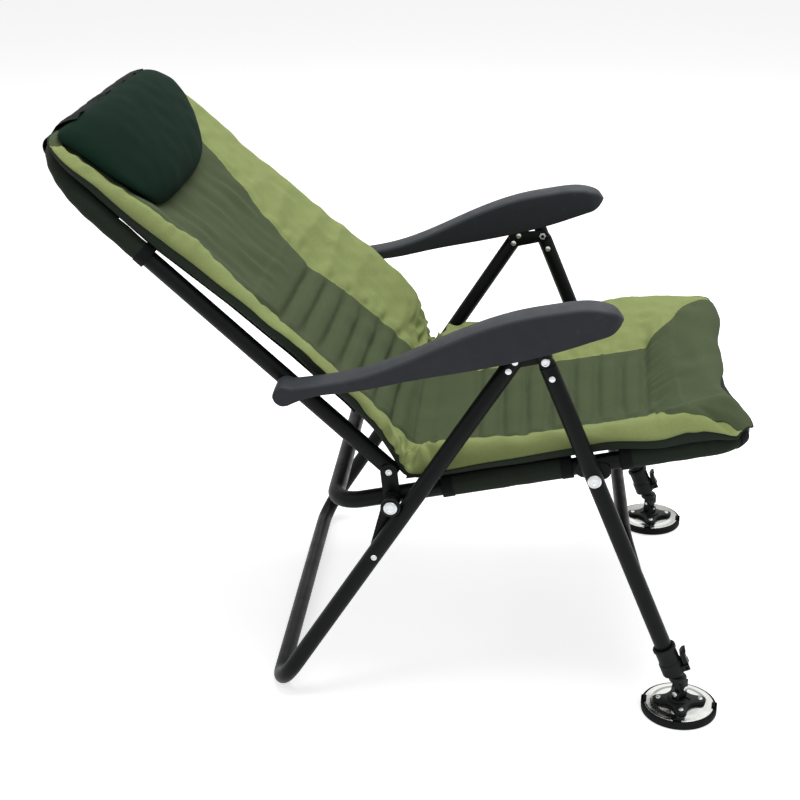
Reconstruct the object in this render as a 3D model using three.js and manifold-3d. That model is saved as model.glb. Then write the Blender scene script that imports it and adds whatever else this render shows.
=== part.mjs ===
// Carp fishing chair: a folding reclining armchair on three points, two swivel front feet and a rear bar.
// Millimetres, +X the way the sitter faces, +Y the sitter's left, +Z up, origin on the floor in the middle.
import * as THREE from 'three';
import { mergeVertices } from 'three/addons/utils/BufferGeometryUtils.js';
import Module from 'manifold-3d';

const wasm = await Module();
wasm.setup();

// Driving dimensions of the tube frame
const TUBE_RADIUS = 12.5;
const TUBE_WALL = 1.5;
const SEAT_TUBE_Y = 275;
const LEG_TUBE_Y = 307;
const SEAT_ANGLE = THREE.MathUtils.degToRad(11.1);
const RECLINE = THREE.MathUtils.degToRad(46.6);
const LEG_LEAN = THREE.MathUtils.degToRad(22.3);
const STRUT_LEAN = THREE.MathUtils.degToRad(33);
const REAR_PIVOT_HEIGHT = 331;
const SEAT_REAR_REACH = 90;
const SEAT_FRONT_REACH = 507;
const SEAT_BEND_RADIUS = 45;
const FRONT_RAIL_BOW = 18;
const FRONT_RAIL_BEND = 200;
const BOW_FLAT_Y = 85;
const BOW_END_Y = 205;
const FRONT_PIVOT_ALONG = 292;
const FRONT_PIVOT_DROP = 7.5;
const BACK_HINGE_ALONG = 4;
const BACK_HINGE_RISE = 42;
const BACK_LENGTH = 650;
const BACK_BEND_RADIUS = 105;
const BACK_TAIL = 11;
const ARM_PIVOT_UP = 194;
const LEG_TOP_PIVOT = 191.5;
const STRUT_OFFSET = 23;
const STRUT_TOP = 298;
const REAR_BEND_RADIUS = 55;
const FOOT_PIVOT_HEIGHT = 41;

// Clearances and facets
const GAP = 0.3;
const RUNNING_GAP = 0.7;
const PAD_GAP = 0.8;
const OVERRUN = 5;
const TUBE_SIDES = 10;
const BEND_STEPS = 4;
const COUNT_SLACK_SHARE = 0.01;
const SMALL_SIDES = 8;
const HEX_SIDES = 6;

// Plates, washers and bolts
const PLATE = 3;
const BOLT_RADIUS = 3;
const BOLT_HOLE = 3.4;
const NUT_RADIUS = 6.2;
const NUT_HEIGHT = 5.2;
const TOP_NUT_HEIGHT = 2.6;
const PIVOT_HEAD_RADIUS = 10;
const PIVOT_HEAD_HEIGHT = 3;
const SMALL_HEAD_RADIUS = 6.6;
const RIVET_HEAD_RADIUS = 4.4;
const RIVET_HEAD_HEIGHT = 1.6;
const RIVET_RADIUS = 2.4;
const RIVET_HOLE = 2.8;
const HINGE_EYE_RADIUS = 12.5;
const STRUT_EYE_RADIUS = 9;
const STRUT_RIVET_BELOW = 82;
const LUG_HALF_LENGTH = 12;
const LUG_EYE_RADIUS = 13;
const SPACER_RADIUS = 9.6;
const BUSH_NECK_LENGTH = 22.5;
const BUSH_NECK_RADIUS = 8;
const BUSH_FLANGE_RADIUS = 14.5;
const BUSH_FLANGE = 3.4;
const HOOK_EYE_RADIUS = 10;
const HOOK_ROOT_BELOW = 22;
const HOOK_RIVET_PITCH = 16;
const HOOK_SLOT_CLEARANCE = 0.8;

// Layers across the chair, from the seat tube outwards
const SEAT_TUBE_OUTER = SEAT_TUBE_Y + TUBE_RADIUS;
const SEAT_TUBE_INNER = SEAT_TUBE_Y - TUBE_RADIUS;
const LEG_TUBE_INNER = LEG_TUBE_Y - TUBE_RADIUS;
const LEG_TUBE_OUTER = LEG_TUBE_Y + TUBE_RADIUS;
const SEAT_PLATE_INNER = SEAT_TUBE_OUTER + GAP;
const SEAT_PLATE_OUTER = SEAT_PLATE_INNER + PLATE;
const LEG_PLATE_OUTER = LEG_TUBE_INNER - GAP;
const LEG_PLATE_INNER = LEG_PLATE_OUTER - PLATE;

// Colours and finishes
const paint = { color: 0x16191b, roughness: 0.38, metalness: 0.45 };
const castBlack = { color: 0x101214, roughness: 0.55, metalness: 0.1 };
const polishedSteel = { color: 0xc4c6c4, roughness: 0.18, metalness: 1 };
const zincSteel = { color: 0xb4b8ba, roughness: 0.32, metalness: 1 };
const armPlastic = { color: 0x34373b, roughness: 0.6, metalness: 0 };
const rubberBlack = { color: 0x15171a, roughness: 0.85, metalness: 0 };
const slingFabric = { color: 0x353d36, roughness: 0.95, metalness: 0 };
const lightFabric = { color: 0x8f9f63, roughness: 0.95, metalness: 0 };
const pillowFabric = { color: 0x1d3228, roughness: 0.7, metalness: 0 };
const webbing = { color: 0x121315, roughness: 0.9, metalness: 0 };

const material = (finish) => new THREE.MeshStandardMaterial(finish);

// Joining and cutting closed meshes
function solidOf(geometry) {
  const bare = geometry.clone();
  bare.deleteAttribute('normal');
  bare.deleteAttribute('uv');
  const merged = mergeVertices(bare);
  return new wasm.Manifold(new wasm.Mesh({
    numProp: 3,
    vertProperties: new Float32Array(merged.attributes.position.array),
    triVerts: new Uint32Array(merged.index.array),
  }));
}

function geometryOf(solid) {
  const mesh = solid.getMesh();
  const geometry = new THREE.BufferGeometry();
  geometry.setAttribute('position', new THREE.BufferAttribute(new Float32Array(mesh.vertProperties), 3));
  geometry.setIndex(new THREE.BufferAttribute(new Uint32Array(mesh.triVerts), 1));
  geometry.computeVertexNormals();
  return geometry;
}

const join = (...parts) => geometryOf(parts.map(solidOf).reduce((all, next) => all.add(next)));

function cut(geometry, ...tools) {
  return geometryOf(tools.map(solidOf).reduce((all, tool) => all.subtract(tool), solidOf(geometry)));
}

// A mesh whose equal corners are shared
function closed(geometry) {
  const merged = mergeVertices(geometry);
  merged.computeVertexNormals();
  return merged;
}

// A path of straight runs with a round bend at each inner corner,
// all of one radius or each with its own
class BentPath extends THREE.Curve {
  constructor(corners, bendRadius) {
    super();
    this.stops = [];
    const radiusAt = (index) => (Array.isArray(bendRadius) ? bendRadius[index] : bendRadius);
    corners.forEach((corner, index) => {
      const before = corners[index - 1];
      const after = corners[index + 1];
      if (!before || !after) {
        const along = (before ? corner.clone().sub(before) : after.clone().sub(corner)).normalize();
        this.stops.push({ point: corner, tangent: along });
        return;
      }
      this.addBend(before, corner, after, radiusAt(index));
    });
  }

  addBend(before, corner, after, bendRadius) {
    const incoming = corner.clone().sub(before).normalize();
    const outgoing = after.clone().sub(corner).normalize();
    const turn = incoming.angleTo(outgoing);
    const setback = bendRadius * Math.tan(turn / 2);
    const start = corner.clone().addScaledVector(incoming, -setback);
    const inward = outgoing.clone().addScaledVector(incoming, -outgoing.dot(incoming)).normalize();
    const centre = start.clone().addScaledVector(inward, bendRadius);
    const bendSteps = Math.ceil((BEND_STEPS * turn) / (Math.PI / 2) - COUNT_SLACK_SHARE);
    for (let step = 0; step <= bendSteps; step += 1) {
      const angle = (turn * step) / bendSteps;
      const point = centre.clone()
        .addScaledVector(inward, -bendRadius * Math.cos(angle))
        .addScaledVector(incoming, bendRadius * Math.sin(angle));
      const tangent = incoming.clone().multiplyScalar(Math.cos(angle))
        .addScaledVector(inward, Math.sin(angle));
      this.stops.push({ point, tangent });
    }
  }

  get steps() {
    return this.stops.length - 1;
  }

  getPointAt(share) {
    return this.stops[Math.round(share * this.steps)].point.clone();
  }

  getTangentAt(share, target = new THREE.Vector3()) {
    return target.copy(this.stops[Math.round(share * this.steps)].tangent);
  }
}

function roundShape(radius, bore) {
  const shape = new THREE.Shape().absarc(0, 0, radius, 0, 2 * Math.PI);
  if (bore) shape.holes.push(new THREE.Path().absarc(0, 0, bore, 0, 2 * Math.PI, true));
  return shape;
}

function tube(path, radius, bore) {
  return new THREE.ExtrudeGeometry(roundShape(radius, bore), {
    extrudePath: path, steps: path.steps, curveSegments: TUBE_SIDES / 2,
  });
}

const at = (x, y, z) => new THREE.Vector3(x, y, z);

// A straight tube between two points
const straightTube = (from, to, radius, bore) => tube(new BentPath([from, to], radius), radius, bore);

// A round bar along Y between two distances from the middle, on the given side
function barY(x, z, radius, from, to, side, sides = SMALL_SIDES) {
  return new THREE.CylinderGeometry(radius, radius, to - from, sides)
    .translate(x, (side * (from + to)) / 2, z);
}

// A flat outline in X and Z, given thickness along Y between two distances from the middle
function slab(outline, from, to, side) {
  const geometry = new THREE.ExtrudeGeometry(outline, {
    depth: to - from, bevelEnabled: false, curveSegments: TUBE_SIDES / 2,
  });
  return geometry.rotateX(Math.PI / 2).translate(0, side > 0 ? to : -from, 0);
}

// The outline of a strap with a round eye at each end
function strapOutline(first, second) {
  const heading = Math.atan2(second.z - first.z, second.x - first.x);
  const span = Math.hypot(second.x - first.x, second.z - first.z);
  const spread = Math.acos((first.radius - second.radius) / span);
  const shape = new THREE.Shape();
  shape.absarc(first.x, first.z, first.radius, heading + spread, heading - spread + 2 * Math.PI);
  shape.absarc(second.x, second.z, second.radius, heading - spread, heading + spread);
  return shape;
}

function strap(first, second, from, to, side) {
  return slab(strapOutline(first, second), from, to, side);
}

// A bolt along Y: round head outside, plain shank, nut inside
function bolt({ x, z, headAt, headRadius, headHeight, tipAt, nutAt, nutHeight = NUT_HEIGHT }, side) {
  const outer = headAt + headHeight;
  const rim = headHeight / 3;
  const head = new THREE.LatheGeometry([
    new THREE.Vector2(0, 0), new THREE.Vector2(headRadius, 0), new THREE.Vector2(headRadius, rim),
    new THREE.Vector2(headRadius * 0.6, headHeight), new THREE.Vector2(0, headHeight),
  ], TUBE_SIDES);
  if (side < 0) head.rotateX(Math.PI);
  head.translate(x, side * headAt, z);
  const shank = barY(x, z, BOLT_RADIUS, tipAt, outer - rim, side);
  return join(head, shank, barY(x, z, NUT_RADIUS, nutAt, nutAt + nutHeight, side, HEX_SIDES));
}

// A rivet along Y with a low round head at each end
function rivet({ x, z, from, to }, side) {
  return join(
    barY(x, z, RIVET_RADIUS, from - RIVET_HEAD_HEIGHT, to + RIVET_HEAD_HEIGHT, side),
    barY(x, z, RIVET_HEAD_RADIUS, from - RIVET_HEAD_HEIGHT, from, side),
    barY(x, z, RIVET_HEAD_RADIUS, to, to + RIVET_HEAD_HEIGHT, side),
  );
}

// A ring along Y
function washer(x, z, radius, bore, from, to, side) {
  const points = [[bore, from], [radius, from], [radius, to], [bore, to], [bore, from]];
  const geometry = new THREE.LatheGeometry(points.map(([r, y]) => new THREE.Vector2(r, y)), TUBE_SIDES);
  if (side < 0) geometry.rotateX(Math.PI);
  return geometry.translate(x, 0, z);
}

const sides = [['left', 1], ['right', -1]];

// Upright round posts, blocks and turned shapes
const post = (x, y, radius, from, to, count = SMALL_SIDES) => new THREE.CylinderGeometry(
  radius, radius, to - from, count,
).rotateX(Math.PI / 2).translate(x, y, (from + to) / 2);
const block = (sizeX, sizeY, from, to) => new THREE.BoxGeometry(sizeX, sizeY, to - from)
  .translate(0, 0, (from + to) / 2);
const turned = (profile, count) => new THREE.LatheGeometry(
  profile.map(([r, z]) => new THREE.Vector2(r, z)), count,
).rotateX(Math.PI / 2);

// Frames that the parts are built in: the seat rail, the backrest, the front leg, the rear leg and the arm
const chair = new THREE.Group();

function frameAt(x, z, turn) {
  const frame = new THREE.Group();
  frame.position.set(x, 0, z);
  frame.rotation.y = turn;
  frame.updateMatrix();
  chair.add(frame);
  return frame;
}

const alongSeat = (along, rise) => at(
  along * Math.cos(SEAT_ANGLE) - rise * Math.sin(SEAT_ANGLE), 0,
  REAR_PIVOT_HEIGHT + along * Math.sin(SEAT_ANGLE) + rise * Math.cos(SEAT_ANGLE),
);
const frontPivot = alongSeat(FRONT_PIVOT_ALONG, -FRONT_PIVOT_DROP);
const backHinge = alongSeat(BACK_HINGE_ALONG, BACK_HINGE_RISE);
const armPivot = at(
  backHinge.x - ARM_PIVOT_UP * Math.sin(RECLINE), 0, backHinge.z + ARM_PIVOT_UP * Math.cos(RECLINE),
);
const legTop = at(
  frontPivot.x - LEG_TOP_PIVOT * Math.sin(LEG_LEAN), 0, frontPivot.z + LEG_TOP_PIVOT * Math.cos(LEG_LEAN),
);
const legDrop = (frontPivot.z - FOOT_PIVOT_HEIGHT) / Math.cos(LEG_LEAN);
const footX = frontPivot.x + legDrop * Math.sin(LEG_LEAN);

const seatFrame = frameAt(0, REAR_PIVOT_HEIGHT, -SEAT_ANGLE);
const backFrame = frameAt(backHinge.x, backHinge.z, -RECLINE);
const legFrame = frameAt(frontPivot.x, frontPivot.z, -LEG_LEAN);
const strutFrame = frameAt(0, REAR_PIVOT_HEIGHT, STRUT_LEAN);
const armFrame = frameAt(armPivot.x, armPivot.z, 0);

function add(frame, name, geometry, finish) {
  const mesh = new THREE.Mesh(geometry, material(finish));
  mesh.name = name;
  frame.add(mesh);
  return mesh;
}

// Seat frame: one tube bent to a rounded rectangle with its front run bowed back,
// closed at a butt seam there
const SEAM_HALF_GAP = 0.3;
const BOW_REACH = SEAT_FRONT_REACH - FRONT_RAIL_BOW;
const seatCorners = [
  at(BOW_REACH, SEAM_HALF_GAP, 0),
  at(BOW_REACH, BOW_FLAT_Y, 0),
  at(SEAT_FRONT_REACH, BOW_END_Y, 0),
  at(SEAT_FRONT_REACH, SEAT_TUBE_Y, 0),
  at(-SEAT_REAR_REACH, SEAT_TUBE_Y, 0),
  at(-SEAT_REAR_REACH, -SEAT_TUBE_Y, 0),
  at(SEAT_FRONT_REACH, -SEAT_TUBE_Y, 0),
  at(SEAT_FRONT_REACH, -BOW_END_Y, 0),
  at(BOW_REACH, -BOW_FLAT_Y, 0),
  at(BOW_REACH, -SEAM_HALF_GAP, 0),
];
const seatBends = seatCorners.map(({ y }) => (
  Math.abs(y) < SEAT_TUBE_Y ? FRONT_RAIL_BEND : SEAT_BEND_RADIUS
));
const seatTube = tube(new BentPath(seatCorners, seatBends), TUBE_RADIUS, TUBE_RADIUS - TUBE_WALL);
const seatDrills = sides.flatMap(([, side]) => [[0, 0], [FRONT_PIVOT_ALONG, -FRONT_PIVOT_DROP]].map(
  ([x, z]) => barY(x, z, BOLT_HOLE, SEAT_TUBE_INNER - OVERRUN, SEAT_TUBE_OUTER + OVERRUN, side),
));
add(seatFrame, 'seat_frame', cut(seatTube, ...seatDrills), paint);

// Hinge plates welded outside the seat tube: backrest pivot above, rear leg pivot below
for (const [name, side] of sides) {
  const lower = { x: 0, z: 0, radius: HINGE_EYE_RADIUS };
  const upper = { x: BACK_HINGE_ALONG, z: BACK_HINGE_RISE, radius: HINGE_EYE_RADIUS };
  add(seatFrame, `hinge_plate_${name}`, cut(
    strap(lower, upper, SEAT_PLATE_INNER, SEAT_PLATE_OUTER, side),
    barY(lower.x, lower.z, BOLT_HOLE, SEAT_TUBE_OUTER, SEAT_PLATE_OUTER + OVERRUN, side),
    barY(upper.x, upper.z, RIVET_HOLE, SEAT_TUBE_OUTER, SEAT_PLATE_OUTER + OVERRUN, side),
  ), paint);
}

// Front lugs welded outside the seat tube, which carry the front legs
for (const [name, side] of sides) {
  const rear = { x: FRONT_PIVOT_ALONG - LUG_HALF_LENGTH, z: 0, radius: LUG_EYE_RADIUS };
  const front = { x: FRONT_PIVOT_ALONG + LUG_HALF_LENGTH, z: -FRONT_PIVOT_DROP, radius: LUG_EYE_RADIUS };
  add(seatFrame, `front_lug_${name}`, cut(
    strap(rear, front, SEAT_PLATE_INNER, SEAT_PLATE_OUTER, side),
    barY(FRONT_PIVOT_ALONG, -FRONT_PIVOT_DROP, BOLT_HOLE, SEAT_TUBE_OUTER, SEAT_PLATE_OUTER + OVERRUN, side),
  ), paint);
}

// Rear leg pivot bolts with shouldered nylon bushes that stand proud of the leg
const bushFrom = LEG_PLATE_OUTER + GAP;
const bushFlangeAt = bushFrom + BUSH_NECK_LENGTH;
const bushOuter = bushFlangeAt + BUSH_FLANGE;
function rearBush(side) {
  const profile = [
    [BOLT_HOLE, bushFrom], [BUSH_NECK_RADIUS, bushFrom], [BUSH_NECK_RADIUS, bushFlangeAt],
    [BUSH_FLANGE_RADIUS, bushFlangeAt], [BUSH_FLANGE_RADIUS, bushOuter], [BOLT_HOLE, bushOuter],
    [BOLT_HOLE, bushFrom],
  ];
  const geometry = new THREE.LatheGeometry(profile.map(([r, y]) => new THREE.Vector2(r, y)), TUBE_SIDES);
  return side < 0 ? geometry.rotateX(Math.PI) : geometry;
}
const nutAt = SEAT_TUBE_INNER - NUT_HEIGHT - GAP;
for (const [name, side] of sides) {
  add(seatFrame, `rear_pivot_bush_${name}`, rearBush(side), castBlack);
  add(seatFrame, `rear_pivot_bolt_${name}`, bolt({
    x: 0, z: 0, headAt: bushOuter + GAP, headRadius: PIVOT_HEAD_RADIUS, headHeight: PIVOT_HEAD_HEIGHT,
    tipAt: nutAt, nutAt,
  }, side), zincSteel);
}

// Seat sling: a fabric panel with sleeves sewn round the side rails and the front rail
const SLEEVE_BORE = TUBE_RADIUS + RUNNING_GAP;
const SLING_THICKNESS = 2;
const SLEEVE_RADIUS = SLEEVE_BORE + SLING_THICKNESS;
const SLING_REAR = 20;
const REAR_SLEEVE = [75, 262];
const FRONT_SLEEVE = [333, 455];
const SLING_NOTCH_Y = 258;
const FRONT_SLEEVE_HALF_WIDTH = 222;
const sleeveZones = [REAR_SLEEVE, FRONT_SLEEVE];

function seatSleeve([from, to], side) {
  const y = side * SEAT_TUBE_Y;
  return straightTube(at(from, y, 0), at(to, y, 0), SLEEVE_RADIUS, SLEEVE_BORE);
}

function panel(from, to, halfWidth) {
  return new THREE.BoxGeometry(to - from, 2 * halfWidth, SLING_THICKNESS)
    .translate((from + to) / 2, 0, SLEEVE_BORE + SLING_THICKNESS / 2);
}

const bowCorners = [
  at(SEAT_FRONT_REACH, -BOW_END_Y, 0), at(BOW_REACH, -BOW_FLAT_Y, 0),
  at(BOW_REACH, BOW_FLAT_Y, 0), at(SEAT_FRONT_REACH, BOW_END_Y, 0),
];
const frontSleeve = tube(new BentPath([
  at(SEAT_FRONT_REACH, -FRONT_SLEEVE_HALF_WIDTH, 0), ...bowCorners,
  at(SEAT_FRONT_REACH, FRONT_SLEEVE_HALF_WIDTH, 0),
], FRONT_RAIL_BEND), SLEEVE_RADIUS, SLEEVE_BORE);

// The panel between the sleeves ends over the middle of the bowed front rail
function bowedPanel(from, halfWidth) {
  const outline = new THREE.Shape([
    new THREE.Vector2(from, -halfWidth), new THREE.Vector2(SEAT_FRONT_REACH, -halfWidth),
    ...bowCorners.map(({ x, y }) => new THREE.Vector2(x, y)),
    new THREE.Vector2(SEAT_FRONT_REACH, halfWidth), new THREE.Vector2(from, halfWidth),
  ]);
  return new THREE.ExtrudeGeometry(outline, { depth: SLING_THICKNESS, bevelEnabled: false })
    .translate(0, 0, SLEEVE_BORE);
}
add(seatFrame, 'seat_sling', join(
  bowedPanel(SLING_REAR, SLING_NOTCH_Y - OVERRUN),
  ...sleeveZones.map(([from, to]) => panel(from, to, SEAT_TUBE_Y)),
  ...sleeveZones.flatMap((zone) => [seatSleeve(zone, 1), seatSleeve(zone, -1)]),
  frontSleeve,
), slingFabric);

// A padded form on a grid: two skins that share one seam line, with round edges all the way round
const EDGE_SHARES = [0, 0.12, 0.45];
const MIDDLE_SHARES = [-1, -0.66, -0.33, 0, 0.33, 0.66, 1];

// Rows across a pad: close together at its round ends, as listed in between
function padRows(from, to, edge, between) {
  return [
    ...EDGE_SHARES.map((share) => from + share * edge), from + edge,
    ...between,
    to - edge, ...EDGE_SHARES.toReversed().map((share) => to - share * edge),
  ];
}

// Even steps from one row to the next, without the last
function evenRows(from, to, count) {
  return Array.from({ length: count }, (_, i) => from + ((to - from) * i) / count);
}

function padded({ rows, edge, toPoint, halfWidth, back, front, crown, channel }) {
  const last = rows.length - 1;
  const lastColumn = MIDDLE_SHARES.length + 2 * EDGE_SHARES.length - 1;
  const roundness = (distance) => Math.sqrt(1 - Math.max(0, 1 - distance / edge) ** 2);
  const columnY = (column, half) => {
    const fromEnd = Math.min(column, lastColumn - column);
    const side = 2 * column < lastColumn ? -1 : 1;
    if (fromEnd < EDGE_SHARES.length) return side * (half - EDGE_SHARES[fromEnd] * edge);
    return MIDDLE_SHARES[column - EDGE_SHARES.length] * (half - edge);
  };
  const vertex = (i, j, skin) => {
    const half = halfWidth(rows[i]);
    const y = columnY(j, half);
    const full = roundness(Math.min(rows[i] - rows[0], rows[last] - rows[i])) * roundness(half - Math.abs(y));
    const low = back(rows[i]);
    const high = front(rows[i]);
    const seam = (low + high) / 2;
    const swell = crown(rows[i]) * (1 - (y / half) ** 2) - channel(rows[i], y / half);
    return toPoint(rows[i], y, skin > 0 ? seam + full * (high - seam + swell) : seam - full * (seam - low));
  };
  const positions = [];
  for (const skin of [1, -1]) {
    for (let i = 0; i < last; i += 1) {
      for (let j = 0; j < lastColumn; j += 1) {
        const corners = [[i, j], [i + 1, j], [i + 1, j + 1], [i, j + 1]].map(([row, column]) => {
          const onSeam = row === 0 || row === last || column === 0 || column === lastColumn;
          return vertex(row, column, onSeam ? 1 : skin);
        });
        const [a, b, c, d] = skin > 0 ? corners : corners.reverse();
        for (const point of [a, b, c, a, c, d]) positions.push(point.x, point.y, point.z);
      }
    }
  }
  const geometry = new THREE.BufferGeometry();
  geometry.setAttribute('position', new THREE.Float32BufferAttribute(positions, 3));
  return geometry;
}

// Seat cushion: raised borders, sewn channels in a dished middle, a knee roll over the bowed front rail
const SEAT_PAD_REAR = 24;
const SEAT_PAD_OVERHANG = 18;
const SEAT_PAD_FRONT = SEAT_FRONT_REACH + SEAT_PAD_OVERHANG;
const SEAT_CHANNELS_FROM = 118;
const SEAT_CHANNELS_TO = 394;
const SEAT_CHANNEL_COUNT = 7;
const SEAT_PAD_TOP = 60;
const SEAT_PAD_REAR_TOP = 30;
const SEAT_PAD_TAPER = 95;
const SEAT_PAD_DISH = 24;
const SEAT_PAD_HALF_WIDTH = 284;
const SEAT_PAD_DROOP = 36;
const SEAT_PAD_DROOP_FROM = 385;
const DROOP_POWER_SHARE = 1.4;
const CHANNEL_DEPTH = 7;
const CHANNEL_EDGE_SHARE = 0.68;
const seatPadBase = SLEEVE_RADIUS + GAP;

function channelDip(from, to, count) {
  return (row, columnShare) => {
    if (row <= from || row >= to || Math.abs(columnShare) > CHANNEL_EDGE_SHARE) return 0;
    const phase = ((row - from) / (to - from)) * count;
    return CHANNEL_DEPTH * Math.abs(Math.cos(Math.PI * phase)) ** 3;
  };
}

const frontShare = (row) => Math.max(0, (row - SEAT_PAD_DROOP_FROM) / (SEAT_PAD_FRONT - SEAT_PAD_DROOP_FROM));
const droop = (row) => SEAT_PAD_DROOP * frontShare(row) ** DROOP_POWER_SHARE;
const bowBack = (row, y) => FRONT_RAIL_BOW * frontShare(row) * Math.max(0, 1 - (y / SLING_NOTCH_Y) ** 2);
const rearTaper = (row) => Math.min(1, (row - SEAT_PAD_REAR) / SEAT_PAD_TAPER);
const STEPS_PER_CHANNEL = 3;
const PAD_EDGE = 18;
const seatRows = padRows(SEAT_PAD_REAR, SEAT_PAD_FRONT, PAD_EDGE, [
  ...evenRows(SEAT_PAD_REAR + PAD_EDGE, SEAT_CHANNELS_FROM, 3).slice(1),
  ...evenRows(SEAT_CHANNELS_FROM, SEAT_CHANNELS_TO, STEPS_PER_CHANNEL * SEAT_CHANNEL_COUNT),
  ...evenRows(SEAT_CHANNELS_TO, SEAT_PAD_FRONT - PAD_EDGE, 5),
]);
add(seatFrame, 'seat_cushion', closed(padded({
  rows: seatRows,
  edge: PAD_EDGE,
  toPoint: (row, y, depth) => at(row - bowBack(row, y), y, depth),
  halfWidth: () => SEAT_PAD_HALF_WIDTH,
  back: () => seatPadBase,
  front: (row) => SEAT_PAD_REAR_TOP + (SEAT_PAD_TOP - SEAT_PAD_REAR_TOP) * rearTaper(row) - droop(row),
  crown: (row) => -SEAT_PAD_DISH * rearTaper(row) * (1 - frontShare(row)),
  channel: channelDip(SEAT_CHANNELS_FROM, SEAT_CHANNELS_TO, SEAT_CHANNEL_COUNT),
})), lightFabric);

// Backrest frame: an upturned U of tube, riveted to the hinge plates
const backPath = new BentPath([
  at(0, -SEAT_TUBE_Y, -BACK_TAIL), at(0, -SEAT_TUBE_Y, BACK_LENGTH),
  at(0, SEAT_TUBE_Y, BACK_LENGTH), at(0, SEAT_TUBE_Y, -BACK_TAIL),
], BACK_BEND_RADIUS);
const backDrills = sides.flatMap(([, side]) => [
  barY(0, 0, RIVET_HOLE, SEAT_TUBE_INNER - OVERRUN, SEAT_TUBE_OUTER + OVERRUN, side),
  barY(0, ARM_PIVOT_UP, BOLT_HOLE, SEAT_TUBE_INNER - OVERRUN, SEAT_TUBE_OUTER + OVERRUN, side),
]);
const backTube = tube(backPath, TUBE_RADIUS, TUBE_RADIUS - TUBE_WALL);
add(backFrame, 'backrest_frame', cut(backTube, ...backDrills), paint);
for (const [name, side] of sides) {
  add(backFrame, `backrest_hinge_rivet_${name}`, rivet({
    x: 0, z: 0, from: SEAT_TUBE_INNER - GAP, to: SEAT_PLATE_OUTER + GAP,
  }, side), zincSteel);
}

// Backrest sling: the panel stands off in front of the tubes and is sleeved over the top of the U
const BACK_SLEEVE_DEPTH = 195;
const BACK_SLEEVE_FROM = BACK_LENGTH - BACK_SLEEVE_DEPTH;
const BACK_SLING_FROM = 92;
const BACK_SLING_BOW = 18;
const BACK_BOW_SPAN = 220;
const BACK_SLING_HALF_WIDTH = 268;
const slingBack = (up) => {
  const share = THREE.MathUtils.clamp((BACK_SLEEVE_FROM - up) / BACK_BOW_SPAN, 0, 1);
  return SLEEVE_BORE + BACK_SLING_BOW * Math.sin((Math.PI / 2) * share);
};
const slingRows = [...evenRows(BACK_SLING_FROM, BACK_LENGTH, 10), BACK_LENGTH];
const slingOutline = new THREE.Shape([
  ...slingRows.map((up) => new THREE.Vector2(slingBack(up), up)),
  ...slingRows.toReversed().map((up) => new THREE.Vector2(slingBack(up) + SLING_THICKNESS, up)),
].reverse());
const sleevePath = new BentPath([
  at(0, -SEAT_TUBE_Y, BACK_SLEEVE_FROM), at(0, -SEAT_TUBE_Y, BACK_LENGTH),
  at(0, SEAT_TUBE_Y, BACK_LENGTH), at(0, SEAT_TUBE_Y, BACK_SLEEVE_FROM),
], BACK_BEND_RADIUS);
const backPanelCorner = BACK_BEND_RADIUS * (1 - Math.SQRT1_2);
const slingMask = new THREE.Shape();
slingMask.moveTo(-BACK_SLING_HALF_WIDTH, BACK_SLING_FROM - OVERRUN);
slingMask.lineTo(BACK_SLING_HALF_WIDTH, BACK_SLING_FROM - OVERRUN);
slingMask.lineTo(BACK_SLING_HALF_WIDTH, BACK_LENGTH - BACK_BEND_RADIUS);
slingMask.lineTo(SEAT_TUBE_Y - backPanelCorner, BACK_LENGTH - backPanelCorner);
slingMask.lineTo(SEAT_TUBE_Y - BACK_BEND_RADIUS, BACK_LENGTH);
slingMask.lineTo(BACK_BEND_RADIUS - SEAT_TUBE_Y, BACK_LENGTH);
slingMask.lineTo(backPanelCorner - SEAT_TUBE_Y, BACK_LENGTH - backPanelCorner);
slingMask.lineTo(-BACK_SLING_HALF_WIDTH, BACK_LENGTH - BACK_BEND_RADIUS);
slingMask.closePath();
const maskBlock = new THREE.ExtrudeGeometry(slingMask, { depth: BACK_BEND_RADIUS, bevelEnabled: false });
const maskSolid = solidOf(maskBlock.rotateX(Math.PI / 2).rotateZ(Math.PI / 2));
const slingPanel = solidOf(slab(slingOutline, -SEAT_TUBE_Y, SEAT_TUBE_Y, 1)).intersect(maskSolid);
add(backFrame, 'backrest_sling', geometryOf(
  slingPanel.add(solidOf(tube(sleevePath, SLEEVE_RADIUS, SLEEVE_BORE))),
), slingFabric);

// Backrest cushion: lateral channels over the lumbar zone, smooth above
const BACK_PAD_FROM = -18;
const BACK_PAD_OVERHANG = 12;
const BACK_PAD_TO = BACK_LENGTH + BACK_PAD_OVERHANG;
const BACK_CHANNELS_FROM = 14;
const BACK_CHANNELS_TO = 244;
const BACK_CHANNEL_COUNT = 6;
const BACK_PAD_THICKNESS = 30;
const BACK_PAD_CROWN = 4;
const HEAD_PAD_THICKNESS = 16;
const HEAD_PAD_FROM = 425;
const HEAD_PAD_RUN = 55;
const BACK_PAD_HALF_WIDTH = 284;
const BACK_PAD_CORNER = 70;
const backPadTopCorner = (up) => {
  const over = Math.max(0, (up - (BACK_PAD_TO - BACK_PAD_CORNER)) / BACK_PAD_CORNER);
  return BACK_PAD_HALF_WIDTH - BACK_PAD_CORNER * (1 - Math.sqrt(1 - over ** 2));
};
const backRows = padRows(BACK_PAD_FROM, BACK_PAD_TO, PAD_EDGE, [
  ...evenRows(BACK_CHANNELS_FROM, BACK_CHANNELS_TO, STEPS_PER_CHANNEL * BACK_CHANNEL_COUNT),
  ...evenRows(BACK_CHANNELS_TO, BACK_PAD_TO - BACK_PAD_CORNER, 6),
  ...evenRows(BACK_PAD_TO - BACK_PAD_CORNER, BACK_PAD_TO - PAD_EDGE, 2),
]);
const backPadRear = (up) => slingBack(up) + SLING_THICKNESS + PAD_GAP;
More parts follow.
